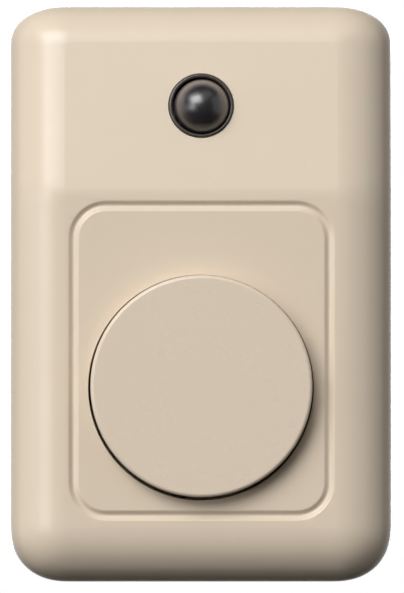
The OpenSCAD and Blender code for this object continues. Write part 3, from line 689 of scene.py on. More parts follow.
for quarter in range(4):
    a = math.pi * (quarter + 0.5) / 2
    c, s = math.cos(a), math.sin(a)
    prism(button, rib, RIB_HALF, lambda p: at_button(np.column_stack([
        c * p[:, 0] + s * p[:, 2], s * p[:, 0] - c * p[:, 2], p[:, 1]])))
button_mesh = button.mesh("button_cap")
piece("button_cap", button_mesh, button_abs, "button", "button_moulding", "push_button")

# %% [markdown]
# ## Lens, bezel and retaining ring
# The indicator is a smoked dome that stands up through a black bezel ring, and a ring behind holds both in
# their boss. The dome is part of a sphere, whose radius follows from its width and its rise. It has sunk a
# little in its bezel, down and to the right.

# %% Lens sizes
LENS_R, DOME_RISE, DOME_PROUD, LENS_WALL = 3.82, 3.4, 3.2, 1.0
LENS_PLAY, LENS_SAG = 0.15, math.radians(40)
DOME_R = (LENS_R ** 2 + DOME_RISE ** 2) / (2 * DOME_RISE)
DOME_AXIS = DOME_PROUD - DOME_R
LENS_FLANGE_R, LENS_SEAT, LENS_BACK = 4.75, -3.05, -3.95
LENS_BORE_R = LENS_R - LENS_WALL


def at_shifted_lens(points):
    """Moves points to the lens, off centre to where it has sunk in its bezel."""
    play = (LENS_PLAY * math.cos(LENS_SAG), -LENS_PLAY * math.sin(LENS_SAG), 0)
    return at_lens(np.asarray(points, float) + play)


lens_middle = FACE @ Vector(at_shifted_lens([(0, 0, 0)])[0])
print("lens dome radius in mm:", round(DOME_R, 2))

# %% [markdown]
# ### Smoked acrylic
# The dome's crown is clear enough to look into the dark well behind it, so its colour is the dark smoke
# with the well's shade painted in. Its skirt, where the wall is seen edge-on, is painted greyer, as painted
# light: it stands for the ivory cover mirrored in it and for light falling in, so it is painted paler at the
# top and darker below. Real transmission would show all that lies in the well, so one opaque colour stands
# for it, which changes with the distance from the lens's axis and with the height across it. A clear dome
# mirrors the lamps twice, on its outer and on its inner skin, and a coat stands for the second one.

# %% Smoked acrylic
CROWN_R, SKIRT_FROM_R = 2.1, 3.0
DIM_BELOW, LIT_ABOVE = -0.7, 0.9  # heights across the lens, as shares of its radius
CROWN_ROUGHNESS, SKIRT_ROUGHNESS = 0.28, 0.34
SMOKE_MM = 2.5


def smoked_acrylic():
    """Smoked acrylic: a polished crown with the well's painted shade, and a duller skirt of painted light,
    paler at the top.
    """
    material, tree, place = new_material("polished_smoked_acrylic")
    along_axis = add(tree, "ShaderNodeMapping", {
        "Vector": place, "Location": lens_middle, "Rotation": (math.pi / 2 - TILT, 0, 0)},
        vector_type="TEXTURE")
    flat = add(tree, "ShaderNodeVectorMath", {
        0: along_axis.outputs["Vector"], 1: (1, 1, 0)}, operation="MULTIPLY")
    reach = add(tree, "ShaderNodeVectorMath", {0: flat.outputs[0]}, operation="LENGTH")
    skirt = add(tree, "ShaderNodeMapRange", {
        "Value": reach.outputs["Value"], "From Min": CROWN_R * MM, "From Max": SKIRT_FROM_R * MM},
        interpolation_type="SMOOTHSTEP")
    across = add(tree, "ShaderNodeSeparateXYZ", {"Vector": along_axis.outputs["Vector"]})
    # Painted light: the skirt's colour is painted paler towards the top of the lens and darker below.
    lit = add(tree, "ShaderNodeMapRange", {
        "Value": across.outputs["Y"], "From Min": DIM_BELOW * LENS_R * MM,
        "From Max": LIT_ABOVE * LENS_R * MM})
    skirt_painted_light = add(tree, "ShaderNodeMix", {
        "Factor": lit.outputs["Result"], "A": linear("#1f1d1c"), "B": linear("#766c68")}, data_type="RGBA")
    smoke = add(tree, "ShaderNodeTexNoise", {"Vector": place, "Scale": per_metre(SMOKE_MM), "Detail": 2.0})
    # Painted shade: the crown's dark smoke colour also stands for the shaded well seen through it.
    crown = add(tree, "ShaderNodeMix", {
        "Factor": smoke.outputs["Fac"], "A": linear("#1d1d22"), "B": linear("#2a2626")}, data_type="RGBA")
    colour = add(tree, "ShaderNodeMix", {
        "Factor": skirt.outputs["Result"], "A": crown.outputs["Result"], "B": skirt_painted_light.outputs["Result"]},
        data_type="RGBA")
    gloss = add(tree, "ShaderNodeMapRange", {
        "Value": skirt.outputs["Result"], "To Min": CROWN_ROUGHNESS, "To Max": SKIRT_ROUGHNESS})
    finish_with(tree, {
        "Base Color": colour.outputs["Result"], "Roughness": gloss.outputs["Result"], "IOR": 1.49,
        "Coat Weight": 1.0, "Coat Roughness": 0.3})
    return material


smoked = smoked_acrylic()
print("lens finish:", smoked.name)

# %% [markdown]
# ### Dome, bezel and retaining ring
# All three are turned parts, so each is a profile and one call. The bezel's lip is a half round. It catches
# a thin line of light, where a square edge would stay black.

# %% Dome, bezel and retaining ring
BEZEL_R, BEZEL_BORE_R, BEZEL_PROUD = 4.5, 4.0, 0.25
BEZEL_FLANGE_R, BEZEL_SEAT, BEZEL_BACK = 5.5, -2.05, -2.95
RETAINER_R, RETAINER_TOP = 5.55, -4.05
POLE_ANGLE = 89
WELL_STEPS, DOME_STEPS, BEZEL_STEPS = 10, 28, 12

outer_edge = math.degrees(math.acos(LENS_R / DOME_R))
inner_edge = math.degrees(math.acos(LENS_BORE_R / (DOME_R - LENS_WALL)))
lens = Draft()
lens_profile = arc_points(0, DOME_AXIS, DOME_R - LENS_WALL, POLE_ANGLE, inner_edge, WELL_STEPS)
lens_profile += [
    (LENS_BORE_R, LENS_BACK), (LENS_FLANGE_R - FINE_BREAK, LENS_BACK),
    (LENS_FLANGE_R, LENS_BACK + FINE_BREAK), (LENS_FLANGE_R, LENS_SEAT), (LENS_R, LENS_SEAT)]
lens_profile += arc_points(0, DOME_AXIS, DOME_R, outer_edge, POLE_ANGLE, DOME_STEPS)
turned(lens, lens_profile, LENS_STEPS, at_shifted_lens)
piece("lens_dome", lens.mesh("lens_dome"), smoked, "housing", "smoked_lens", "indicator_lens")

bezel = Draft()
bezel_profile = [(BEZEL_BORE_R, BEZEL_BACK), (BEZEL_FLANGE_R, BEZEL_BACK), (BEZEL_FLANGE_R, BEZEL_SEAT),
                 (BEZEL_R, BEZEL_SEAT)]
bezel_lip_r = (BEZEL_R - BEZEL_BORE_R) / 2
bezel_profile += arc_points(
    BEZEL_R - bezel_lip_r, BEZEL_PROUD - bezel_lip_r, bezel_lip_r, 0, 180, BEZEL_STEPS)
turned_ring(bezel, bezel_profile, LENS_STEPS, at_lens)
piece("bezel_ring", bezel.mesh("bezel_ring"), black_nylon, "housing", "black_moulding", "lens_bezel")

retainer = Draft()
turned_ring(retainer, [
    (LENS_R, BOSS_BACK), (RETAINER_R - FINE_BREAK, BOSS_BACK), (RETAINER_R, BOSS_BACK + FINE_BREAK),
    (RETAINER_R, RETAINER_TOP), (LENS_R, RETAINER_TOP)], LENS_STEPS, at_lens)
retainer_mesh = retainer.mesh("retaining_ring")
piece("retaining_ring", retainer_mesh, black_nylon, "housing", "black_moulding", "lens_retainer")

# %% [markdown]
# ## Plates, blocks and strips
# The base plate, the switch block and the metal strips have true CAD shapes with knife-sharp edges. A mould
# or a press never leaves those. Drawing them again would gain nothing, so each one is copied from the frame,
# its loose triangles are merged, and its corners are bevelled.

# %% Softened copies
CORNER_ANGLE, FLAT_ANGLE = math.radians(35), math.radians(0.5)
MERGE_MM = 0.002


def softened(name, node, radius_mm, material, body, slot):
    """A copy of a CAD node with its sharp corners broken, as a mould or a press leaves them."""
    shape = bmesh.new()
    shape.from_mesh(nodes[node].data)
    bmesh.ops.remove_doubles(shape, verts=shape.verts, dist=MERGE_MM * MM)
    bmesh.ops.dissolve_limit(shape, angle_limit=FLAT_ANGLE, verts=shape.verts, edges=shape.edges)
    corners = [e for e in shape.edges if e.is_manifold and e.calc_face_angle() > CORNER_ANGLE]
    bmesh.ops.bevel(shape, geom=corners, offset=radius_mm * MM, segments=2, profile=0.5, affect="EDGES")
    mesh = bpy.data.meshes.new(name)
    shape.to_mesh(mesh)
    shape.free()
    return piece(name, mesh, material, body, slot, node)


PLATE_BREAK, BLOCK_BREAK, STRIP_BREAK = 0.2, 0.15, 0.1
softened("back_plate", "base_plate", PLATE_BREAK, base_abs, "housing", "base_moulding")
softened("switch_block", "contact_block", BLOCK_BREAK, brown_phenolic, "housing", "block_phenolic")
softened("moving_bridge", "contact_bridge", STRIP_BREAK, brass, "button", "contact_brass")
softened("left_strip", "fixed_contact_left", STRIP_BREAK, brass, "housing", "contact_brass")
softened("right_strip", "fixed_contact_right", STRIP_BREAK, brass, "housing", "contact_brass")
softened("wire_clamps", "terminal_clamps", STRIP_BREAK, zinc_plate, "housing", "plated_steel")
softened("stem_clip", "bridge_clip", STRIP_BREAK, spring_steel, "button", "spring_steel")

# %% [markdown]
# ## Things that repeat
# Screws, rivets and solder joints repeat, and springs and wires follow a path, so Geometry Nodes make
# them. Each tree has named inputs for its sizes. It runs on a carrier mesh, which gives it its points or
# its path, and what it makes is kept as a plain mesh.

# %% Growing meshes with nodes
def new_tree(name, **inputs):
    """A node tree with a mesh coming in, named inputs after it and a mesh going out."""
    tree = bpy.data.node_groups.new(name, "GeometryNodeTree")
    tree.interface.new_socket("Geometry", in_out="INPUT", socket_type="NodeSocketGeometry")
    tree.interface.new_socket("Geometry", in_out="OUTPUT", socket_type="NodeSocketGeometry")
    for key, kind in inputs.items():
        tree.interface.new_socket(key, in_out="INPUT", socket_type="NodeSocket" + kind)
    tree.interface.new_socket("Material", in_out="INPUT", socket_type="NodeSocketMaterial")
    return tree, add(tree, "NodeGroupInput").outputs


def end_tree(tree, source, geometry):
    """Ends a tree in plain, smooth geometry that carries the material."""
    real = add(tree, "GeometryNodeRealizeInstances", {"Geometry": geometry})
    smooth = add(tree, "GeometryNodeSetShadeSmooth", {"Geometry": real.outputs["Geometry"]})
    painted = add(tree, "GeometryNodeSetMaterial", {
        "Geometry": smooth.outputs["Geometry"], "Material": source["Material"]})
    add(tree, "NodeGroupOutput", {"Geometry": painted.outputs["Geometry"]})


def grown(tree, points, edges, place, **values):
    """Runs a tree on a carrier of points and edges, and keeps what it makes as a plain mesh."""
    carrier_mesh = bpy.data.meshes.new("carrier")
    carrier_mesh.from_pydata(points, edges, [])
    carrier = bpy.data.objects.new("carrier", carrier_mesh)
    bpy.context.scene.collection.objects.link(carrier)
    grow = carrier.modifiers.new("grow", "NODES")
    grow.node_group = tree
    sockets = {s.name: s.identifier for s in tree.interface.items_tree if s.in_out == "INPUT"}
    for key, value in values.items():
        grow[sockets[key]] = value
    depsgraph = bpy.context.evaluated_depsgraph_get()
    mesh = bpy.data.meshes.new_from_object(carrier.evaluated_get(depsgraph), depsgraph=depsgraph)
    carrier.modifiers.remove(grow)
    bpy.data.objects.remove(carrier)
    mesh.transform(FACE @ place)
    return mesh


# %% [markdown]
# ### Heads of screws and rivets
# A cheese-head screw is a short cylinder with a crowned top, a slot across it and a shank below. A contact
# rivet is the same without the slot. One of each could be modelled and copied, but a tree takes other sizes
# for every pair. The crown sinks the top's points by a power of their distance from the axis, which leaves
# the middle flat, and a bar cuts the slot.

# %% Heads of screws and rivets
CROWN_POWER = 4.0
SLOT_OVERSHOOT = 1.2


def crowned_head(tree, source, half):
    """A short cylinder on z = 0 whose top falls away towards its edge."""
    drum = add(tree, "GeometryNodeMeshCylinder", {
        "Vertices": 48, "Fill Segments": 6, "Radius": half["HeadDiameter"], "Depth": source["HeadHeight"]})
    spot = add(tree, "GeometryNodeInputPosition").outputs["Position"]
    flat = add(tree, "ShaderNodeVectorMath", {0: spot, 1: (1, 1, 0)}, operation="MULTIPLY").outputs[0]
    reach = add(tree, "ShaderNodeVectorMath", {0: flat}, operation="LENGTH").outputs["Value"]
    share = add(tree, "ShaderNodeMath", {0: reach, 1: half["HeadDiameter"]}, operation="DIVIDE").outputs[0]
    fall = add(tree, "ShaderNodeMath", {0: share, 1: CROWN_POWER}, operation="POWER").outputs[0]
    drop = add(tree, "ShaderNodeMath", {0: fall, 1: source["Crown"]}, operation="MULTIPLY").outputs[0]
    down = add(tree, "ShaderNodeMath", {0: 0.0, 1: drop}, operation="SUBTRACT").outputs[0]
    sink = add(tree, "ShaderNodeCombineXYZ", {"Z": down}).outputs["Vector"]
    upper = add(tree, "ShaderNodeSeparateXYZ", {"Vector": spot}).outputs["Z"]
    on_top = add(tree, "ShaderNodeMath", {0: upper, 1: 0.0}, operation="GREATER_THAN").outputs[0]
    crowned = add(tree, "GeometryNodeSetPosition", {
        "Geometry": drum.outputs["Mesh"], "Selection": on_top, "Offset": sink})
    lift = add(tree, "ShaderNodeCombineXYZ", {"Z": half["HeadHeight"]}).outputs["Vector"]
    head = add(tree, "GeometryNodeTransform", {"Geometry": crowned.outputs["Geometry"], "Translation": lift})
    return head.outputs["Geometry"]


def slotted_head(tree, source, head):
    """The head with a slot across its top, half as deep as the head is high."""
    size = add(tree, "ShaderNodeCombineXYZ", {
        "X": source["SlotWidth"], "Y": source["HeadDiameter"], "Z": source["HeadHeight"]})
    wide = add(tree, "ShaderNodeVectorMath", {
        0: size.outputs["Vector"], 1: (1, SLOT_OVERSHOOT, 1)}, operation="MULTIPLY").outputs[0]
    bar = add(tree, "GeometryNodeMeshCube", {"Size": wide})
    over = add(tree, "ShaderNodeCombineXYZ", {"Z": source["HeadHeight"]}).outputs["Vector"]
    cutter = add(tree, "GeometryNodeTransform", {"Geometry": bar.outputs["Mesh"], "Translation": over})
    cut = add(tree, "GeometryNodeMeshBoolean", {
        "Mesh 1": head, "Mesh 2": cutter.outputs["Geometry"]}, operation="DIFFERENCE", solver="EXACT")
    return cut.outputs["Mesh"]


print("crown half way out, as a share of its drop at the edge:", 0.5 ** CROWN_POWER)

# %% [markdown]
# ### Whole fasteners
# The shank is a plain rod that starts a hair inside its head, so that no gap can show. The tree joins both
# and puts a copy on every point of its carrier. One function builds the tree of screws and that of rivets.

# %% Whole fasteners
SHANK_SUNK = 0.02


def fastener_tree(name, slotted):
    """Tree that puts a headed pin on every point, its head standing on z = 0 and its shank below."""
    tree, source = new_tree(
        name, HeadDiameter="Float", HeadHeight="Float", Crown="Float", ShankDiameter="Float",
        ShankLength="Float", SlotWidth="Float")
    half = {key: add(tree, "ShaderNodeMath", {0: source[key], 1: 0.5}, operation="MULTIPLY").outputs[0]
            for key in ("HeadDiameter", "HeadHeight", "ShankDiameter", "ShankLength")}
    head = crowned_head(tree, source, half)
    if slotted:
        head = slotted_head(tree, source, head)
    rod = add(tree, "GeometryNodeMeshCylinder", {
        "Vertices": 32, "Radius": half["ShankDiameter"], "Depth": source["ShankLength"]})
    under = add(tree, "ShaderNodeMath", {0: SHANK_SUNK, 1: half["ShankLength"]}, operation="SUBTRACT")
    hang = add(tree, "ShaderNodeCombineXYZ", {"Z": under.outputs[0]}).outputs["Vector"]
    shank = add(tree, "GeometryNodeTransform", {"Geometry": rod.outputs["Mesh"], "Translation": hang})
    whole = add(tree, "GeometryNodeJoinGeometry", {"Geometry": head})
    tree.links.new(shank.outputs["Geometry"], whole.inputs["Geometry"])
    many = add(tree, "GeometryNodeInstanceOnPoints", {
        "Points": source["Geometry"], "Instance": whole.outputs["Geometry"]})
    end_tree(tree, source, many.outputs["Instances"])
    return tree


screw_tree = fastener_tree("slotted_screws", slotted=True)
rivet_tree = fastener_tree("contact_rivets", slotted=False)
print("nodes in the trees:", len(screw_tree.nodes), "and", len(rivet_tree.nodes))

# %% [markdown]
# ### Placing the fasteners
# Screws hold the clamps, the block and the board, and rivets are the contacts. They could be set by hand,
# but each CAD node holds one pair, and its box says how far apart the two are and where they sit. Only the
# sizes of heads and shanks are written here. A pair that points the other way is turned over.

# %% Screws and rivets
UPRIGHT = Matrix.Identity(4)
OVER = Matrix.Rotation(math.pi, 4, "X")


def fasteners(name, node, tree, looks, body, head_z, head_up, **sizes):
    """Screws or rivets where the CAD node has its pair, with the undersides of their heads at head_z."""
    material, slot = looks
    low, high = face_box(node)
    reach = (high.x - low.x) / 2 - sizes["HeadDiameter"] / 2
    middle = Matrix.Translation((0, (low.y + high.y) / 2, head_z))
    place = middle @ (UPRIGHT if head_up else OVER)
    mesh = grown(tree, [(-reach, 0, 0), (reach, 0, 0)], [], place, Material=material, **sizes)
    piece(name, mesh, material, body, slot, node)


PLATED = (zinc_plate, "plated_steel")
CONTACT = (silver, "contact_silver")
small_head = dict(HeadDiameter=4.4, HeadHeight=1.4, Crown=0.4, ShankDiameter=2.2, SlotWidth=0.7)
wide_head = dict(HeadDiameter=5.2, HeadHeight=1.2, Crown=0.35, ShankDiameter=2.2, SlotWidth=0.7)
rivet_head = dict(HeadDiameter=3.0, ShankDiameter=1.5, SlotWidth=0.0)

clamp_top = face_box("terminal_clamps")[1].z
block_head = face_box("block_screws")[1].z - small_head["HeadHeight"]
strip_top = face_box("fixed_contact_rivets")[0].z
BRIDGE_T = 0.7
bridge_under = face_box("bridge_contacts")[1].z - BRIDGE_T
fasteners("terminal_screw_pair", "terminal_screws", screw_tree, PLATED, "housing", clamp_top, True,
          ShankLength=3.75, **wide_head)
fasteners("block_screw_pair", "block_screws", screw_tree, PLATED, "housing", block_head, True,
          ShankLength=6.25, **small_head)
fasteners("board_screw_pair", "board_screws", screw_tree, PLATED, "housing", board_low.z, False,
          ShankLength=5.0, **small_head)
fasteners("fixed_rivet_pair", "fixed_contact_rivets", rivet_tree, CONTACT, "housing", strip_top, True,
          HeadHeight=0.9, Crown=0.25, ShankLength=0.1, **rivet_head)
fasteners("moving_rivet_pair", "bridge_contacts", rivet_tree, CONTACT, "button", bridge_under, False,
          HeadHeight=0.65, Crown=0.2, ShankLength=BRIDGE_T, **rivet_head)

# %% [markdown]
# ### The return spring
# A compression spring of drawn wire stands between the switch block and the button's cap. Blender's spiral
# curve has every number that a spring maker asks for.

# %% The return spring
def spring_tree():
    """Tree that winds round wire into an open coil."""
    tree, source = new_tree(
        "compression_spring", MeanDiameter="Float", WireDiameter="Float", Turns="Float", Rise="Float")
    half = add(tree, "ShaderNodeMath", {0: source["MeanDiameter"], 1: 0.5}, operation="MULTIPLY")
    radius = half.outputs[0]
    thin = add(tree, "ShaderNodeMath", {0: source["WireDiameter"], 1: 0.5}, operation="MULTIPLY").outputs[0]
    coil = add(tree, "GeometryNodeCurveSpiral", {
        "Resolution": 56, "Rotations": source["Turns"], "Start Radius": radius, "End Radius": radius,
        "Height": source["Rise"]})
    section = add(tree, "GeometryNodeCurvePrimitiveCircle", {"Resolution": 18, "Radius": thin})
    wire = add(tree, "GeometryNodeCurveToMesh", {
        "Curve": coil.outputs["Curve"], "Profile Curve": section.outputs["Curve"], "Fill Caps": True})
    end_tree(tree, source, wire.outputs["Mesh"])
    return tree


SPRING_WIRE, SPRING_SEAT_GAP = 0.8, 0.1
spring_low, spring_high = face_box("return_spring")
spring_mean = spring_high.x - spring_low.x - SPRING_WIRE
spring_rise = spring_high.z - spring_low.z - SPRING_WIRE
spring_foot = Vector((0, BUTTON_Y, spring_low.z + SPRING_WIRE / 2))
coil_mesh = grown(spring_tree(), [(0, 0, 0)], [], Matrix.Translation(spring_foot), Material=spring_steel,
                  MeanDiameter=spring_mean, WireDiameter=SPRING_WIRE, Turns=5.0, Rise=spring_rise)
coil_spring = piece("coil_spring", coil_mesh, spring_steel, "housing", "spring_steel", "return_spring")
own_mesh(coil_spring)

# %% [markdown]
# ### Wires and leads
# Two insulated wires run from the terminals up to the lamp board, and the parts on the board stand on bare
# leads. Curve objects with a bevel would look the same, but one tree does for all of them: it sweeps a round
# section along a line of points.

# %% Wires and leads
def wire_tree():
    """Tree that sweeps a round wire along the carrier's edges."""
    tree, source = new_tree("swept_wire", Diameter="Float")
    thin = add(tree, "ShaderNodeMath", {0: source["Diameter"], 1: 0.5}, operation="MULTIPLY").outputs[0]
    path = add(tree, "GeometryNodeMeshToCurve", {"Mesh": source["Geometry"]})
    section = add(tree, "GeometryNodeCurvePrimitiveCircle", {"Resolution": 16, "Radius": thin})
    wire = add(tree, "GeometryNodeCurveToMesh", {
        "Curve": path.outputs["Curve"], "Profile Curve": section.outputs["Curve"], "Fill Caps": True})
    end_tree(tree, source, wire.outputs["Mesh"])
    return tree


swept_wire = wire_tree()


def wires(paths, diameter, material):
    """One mesh of round wires along these paths."""
    points = [tuple(p) for path in paths for p in path]
    starts = np.cumsum([0] + [len(path) for path in paths])
    edges = [(k + i, k + i + 1) for k, path in zip(starts, paths) for i in range(len(path) - 1)]
    return grown(swept_wire, points, edges, UPRIGHT, Diameter=diameter, Material=material)


print("nodes in the wire tree:", len(swept_wire.nodes))

# %% [markdown]
# ### The lamp's wires
# Each wire leaves its terminal straight up the wall, and comes into the board squarely from behind. An arc
# or a hand-drawn line would do, but a Bezier curve is set by just these two directions. A bare core stands
# out at both ends: one lies at the clamp, and one passes through the board.

# %% The lamp's wires
CORE_D = 0.5
WIRE_D = 1.2
WIRE_STEPS = 40


def bezier(a, b, c, d):
    """Points along a cubic curve from a to d that sets out towards b and comes in from c."""
    t = np.linspace(0, 1, WIRE_STEPS + 1)[:, None]
    return (1 - t) ** 3 * a + 3 * (1 - t) ** 2 * t * b + 3 * (1 - t) * t ** 2 * c + t ** 3 * d


PITCH = 2.54
WIRE_X = PITCH / 2
ROW_Y = board_low.y + WIRE_D + CORE_D
TERMINAL_X, TERMINAL_UP, TERMINAL_Z = 9.5, 13.5, 6.3
WIRE_PULL, WIRE_RISE, WIRE_GAP = 12, 4, 0.1
CORE_CLAMPED, CORE_IN_WIRE, LEAD_TAIL = 5.4, 0.4, 0.5
wire_from = np.array([TERMINAL_X, BUTTON_Y + TERMINAL_UP, TERMINAL_Z])
wire_to = np.array([WIRE_X, ROW_Y, board_low.z - WIRE_GAP])
leaving, arriving = wire_from + (0, WIRE_PULL, 0), wire_to - (0, 0, WIRE_RISE)
cores = []
for side, name, material, slot in ((-1, "left", blue_pvc, "wire_blue"), (1, "right", red_pvc, "wire_red")):
    flip = np.array([side, 1, 1])
    run = bezier(wire_from, leaving, arriving, wire_to) * flip
    mesh = wires([run], WIRE_D, material)
    piece(f"{name}_lamp_wire", mesh, material, "housing", slot, f"lamp_wire_{name}")
    cores += [[wire_from * flip, (wire_from - (0, CORE_CLAMPED, 0)) * flip],
              [wire_to * flip - (0, 0, CORE_IN_WIRE), (WIRE_X * side, ROW_Y, board_high.z + LEAD_TAIL)]]
piece("bare_cores", wires(cores, CORE_D, tin), tin, "housing", "plated_steel")
print("each lamp wire in mm:", round(float(np.linalg.norm(np.diff(run, axis=0), axis=1).sum()), 1))

# %% [markdown]
# ## The lamp board
# A small board of glass-fibre laminate carries the lamp, its resistor and a diode. The laminate is green
# lacquer over a woven cloth. Two crossed waves, half a millimetre apart, stand for the weave, and are enough
# for a cloth that only shows through.

# %% Glass-fibre laminate
THREAD_MM = 0.5
WAVE_PERIOD = math.tau / 20  # the length of one wave at a scale of 1


def glass_fibre():
    """Lacquered laminate: deep green, with the weave of the cloth just visible under a clear coat."""
    material, tree, place = new_material("lacquered_glass_fibre")
    threads = {"Vector": place, "Scale": per_metre(THREAD_MM) * WAVE_PERIOD, "Distortion": 1.0}
    warp = add(tree, "ShaderNodeTexWave", threads, bands_direction="X")
    weft = add(tree, "ShaderNodeTexWave", threads, bands_direction="Z")
    cloth = add(tree, "ShaderNodeMath", {
        0: warp.outputs["Fac"], 1: weft.outputs["Fac"]}, operation="MULTIPLY")
    colour = add(tree, "ShaderNodeMix", {
        "Factor": cloth.outputs[0], "A": linear("#1f5236"), "B": linear("#2f6b47")}, data_type="RGBA")
    finish_with(tree, {
        "Base Color": colour.outputs["Result"], "Roughness": 0.35, "IOR": 1.55, "Coat Weight": 0.5})
    return material


softened("lamp_panel", "lamp_board", STRIP_BREAK, glass_fibre(), "housing", "circuit_board")

# %% [markdown]
# ### Banded lacquer
# The resistor is a lacquered body with colour rings, and the diode has one pale ring at its cathode. Rings
# could be pieces of their own, but they are only paint, so a colour ramp along x draws them in steps.

# %% Banded lacquer
SPECK_MM, SPECK_DEPTH_MM = 0.4, 0.004


def banded(name, ground, roughness, centre_x, half_length, bands):
    """Lacquer with rings of colour across x: each band has a start, an end (0 to 1) and a colour."""
    material, tree, place = new_material(name)
    along = add(tree, "ShaderNodeSeparateXYZ", {"Vector": place}).outputs["X"]
    start, end = (centre_x - half_length) * MM, (centre_x + half_length) * MM
    share = add(tree, "ShaderNodeMapRange", {"Value": along, "From Min": start, "From Max": end})
    ramp = add(tree, "ShaderNodeValToRGB", {"Fac": share.outputs["Result"]})
    ramp.color_ramp.interpolation = "CONSTANT"
    ramp.color_ramp.elements.remove(ramp.color_ramp.elements[1])
    ramp.color_ramp.elements[0].color = linear(ground)
    for first, last, colour in bands:
        ramp.color_ramp.elements.new(first).color = linear(colour)
        ramp.color_ramp.elements.new(last).color = linear(ground)
    speck = add(tree, "ShaderNodeTexNoise", {"Vector": place, "Scale": per_metre(SPECK_MM)})
    relief = add(tree, "ShaderNodeBump", {
        "Height": speck.outputs["Fac"], "Strength": 1.0, "Distance": SPECK_DEPTH_MM * MM})
    finish_with(tree, {
        "Base Color": ramp.outputs["Color"], "Roughness": roughness, "IOR": 1.5,
        "Normal": relief.outputs["Normal"]})
    return material


PART_X = (board_high.x - board_low.x) / 2 - 2 * PITCH
HALF_SPAN = 1.5 * PITCH
RESISTOR_R, RESISTOR_HALF = 0.95, 2.5
DIODE_R, DIODE_HALF = 0.85, 2.0
resistor_coat = banded("lacquered_resistor", "#cdb894", 0.35, -PART_X, RESISTOR_HALF, [
    (0.14, 0.24, "#5a3a24"), (0.34, 0.44, "#1c1a19"), (0.54, 0.64, "#a8322b"), (0.78, 0.88, "#a9853f")])
diode_coat = banded("moulded_diode_epoxy", "#232222", 0.4, PART_X, DIODE_HALF, [(0.72, 0.86, "#b9b8b4")])
print("lacquers:", resistor_coat.name, diode_coat.name)

# %% [markdown]
# ### Clear epoxy
# The lamp is cast in clear epoxy, so light goes through it. A mirror-smooth skin would look like glass. A
# casting is never quite even, so a fine noise makes its gloss vary.

# %% Clear epoxy
HAZE_MM = 0.8


def clear_epoxy():
    """Cast epoxy: water-clear, with a slight haze near its skin."""
    material, tree, place = new_material("cast_clear_epoxy")
    haze = add(tree, "ShaderNodeTexNoise", {"Vector": place, "Scale": per_metre(HAZE_MM)})
    gloss = add(tree, "ShaderNodeMapRange", {"Value": haze.outputs["Fac"], "To Min": 0.04, "To Max": 0.16})
    finish_with(tree, {"Base Color": linear("#e4e8ea"), "Roughness": gloss.outputs["Result"],
                       "IOR": 1.54, "Transmission Weight": 0.9})
    return material


lamp_epoxy = clear_epoxy()
print("lamp finish:", lamp_epoxy.name)

# %% [markdown]
# ### Lamp
# The lamp is a domed cylinder on a flange, right behind the lens. A cylinder and half a sphere would have to
# be joined, and a turned profile runs over both.

# %% Lamp
led_high = face_box("indicator_led")[1]
LED_R, LED_FLANGE_R, LED_FLANGE_T = 1.5, led_high.x, 1.0
LED_BREAK, LED_POLE_R, LED_POLE_ANGLE = 0.05, 0.1, 88
LED_DOME_STEPS, LED_STEPS = 12, 48
lamp = Draft()
board_top = board_high.z
flange_top = board_top + LED_FLANGE_T
flange_side = LED_FLANGE_R - LED_BREAK
lamp_profile = [
    (LED_POLE_R, board_top), (flange_side, board_top), (LED_FLANGE_R, board_top + LED_BREAK),
    (LED_FLANGE_R, flange_top - LED_BREAK), (flange_side, flange_top), (LED_R, flange_top)]
lamp_profile += arc_points(0, led_high.z - LED_R, LED_R, 0, LED_POLE_ANGLE, LED_DOME_STEPS)
turned(lamp, lamp_profile, LED_STEPS, lambda p: p + (0, LENS_Y, 0))
piece("lamp_lens", lamp.mesh("lamp_lens"), lamp_epoxy, "housing", "clear_epoxy", "indicator_led")

# %% [markdown]
# ### Resistor, diode and leads
# Resistor and diode are dumb-bells that lie on the board, and their leads bend down through it. Bevelled
# cylinders would come close, but a turned profile has the caps and the waist. One function makes both, and
# gives back the lines of their leads, which are swept together with the lamp's.

# %% Resistor, diode and leads
BODY_STEPS, BEND_STEPS = 40, 6
WAIST, END_BREAK, CAP_TO, WAIST_FROM = 0.9, 0.2, 0.8, 1.2
BEND_R, LED_LEAD_UP = 0.5, 2.5


def axial_body(name, node, centre_x, radius, half_length, material, slot):
    """A round body lying along x on the board, a little fuller at its ends where its caps are."""
    body = Draft()
    end = [(CORE_D / 2, half_length), (radius - END_BREAK, half_length), (radius, half_length - END_BREAK),
           (radius, half_length - CAP_TO), (radius * WAIST, half_length - WAIST_FROM)]
    profile = [(r, -z) for r, z in end] + end[::-1]
    axis_z = face_box(node)[1].z - radius
    turned(body, profile, BODY_STEPS, lambda p: np.column_stack([
        centre_x + p[:, 2], ROW_Y + p[:, 1], axis_z - p[:, 0]]))
    piece(name, body.mesh(name), material, "housing", slot, node)
    corner = [(math.sin(a), 1 - math.cos(a)) for a in np.linspace(math.pi / 2, 0, BEND_STEPS + 1)]
    legs = []
    for side in (-1, 1):
        bow = [(centre_x + side * (HALF_SPAN - BEND_R + BEND_R * s), ROW_Y, axis_z - BEND_R * c)
               for s, c in corner]
        foot = (centre_x + side * HALF_SPAN, ROW_Y, board_low.z - LEAD_TAIL)
        legs.append([foot, *bow, (centre_x + side * half_length, ROW_Y, axis_z)])
    return legs


leads = axial_body(
    "resistor_body", "series_resistor", -PART_X, RESISTOR_R, RESISTOR_HALF, resistor_coat, "resistor_coat")
leads += axial_body(
    "diode_body", "rectifier_diode", PART_X, DIODE_R, DIODE_HALF, diode_coat, "black_moulding")
led_foot, led_top = board_low.z - LEAD_TAIL, board_top + LED_LEAD_UP
leads += [[(x, LENS_Y, led_foot), (x, LENS_Y, led_top)] for x in (-WIRE_X, WIRE_X)]
piece("part_leads", wires(leads, CORE_D, tin), tin, "housing", "plated_steel")

# %% [markdown]
# ### Solder joints
# Every lead ends in a small bright cone of solder on the wall side of the board. It is the same shape eight
# times, so a tree puts a cone on each point.

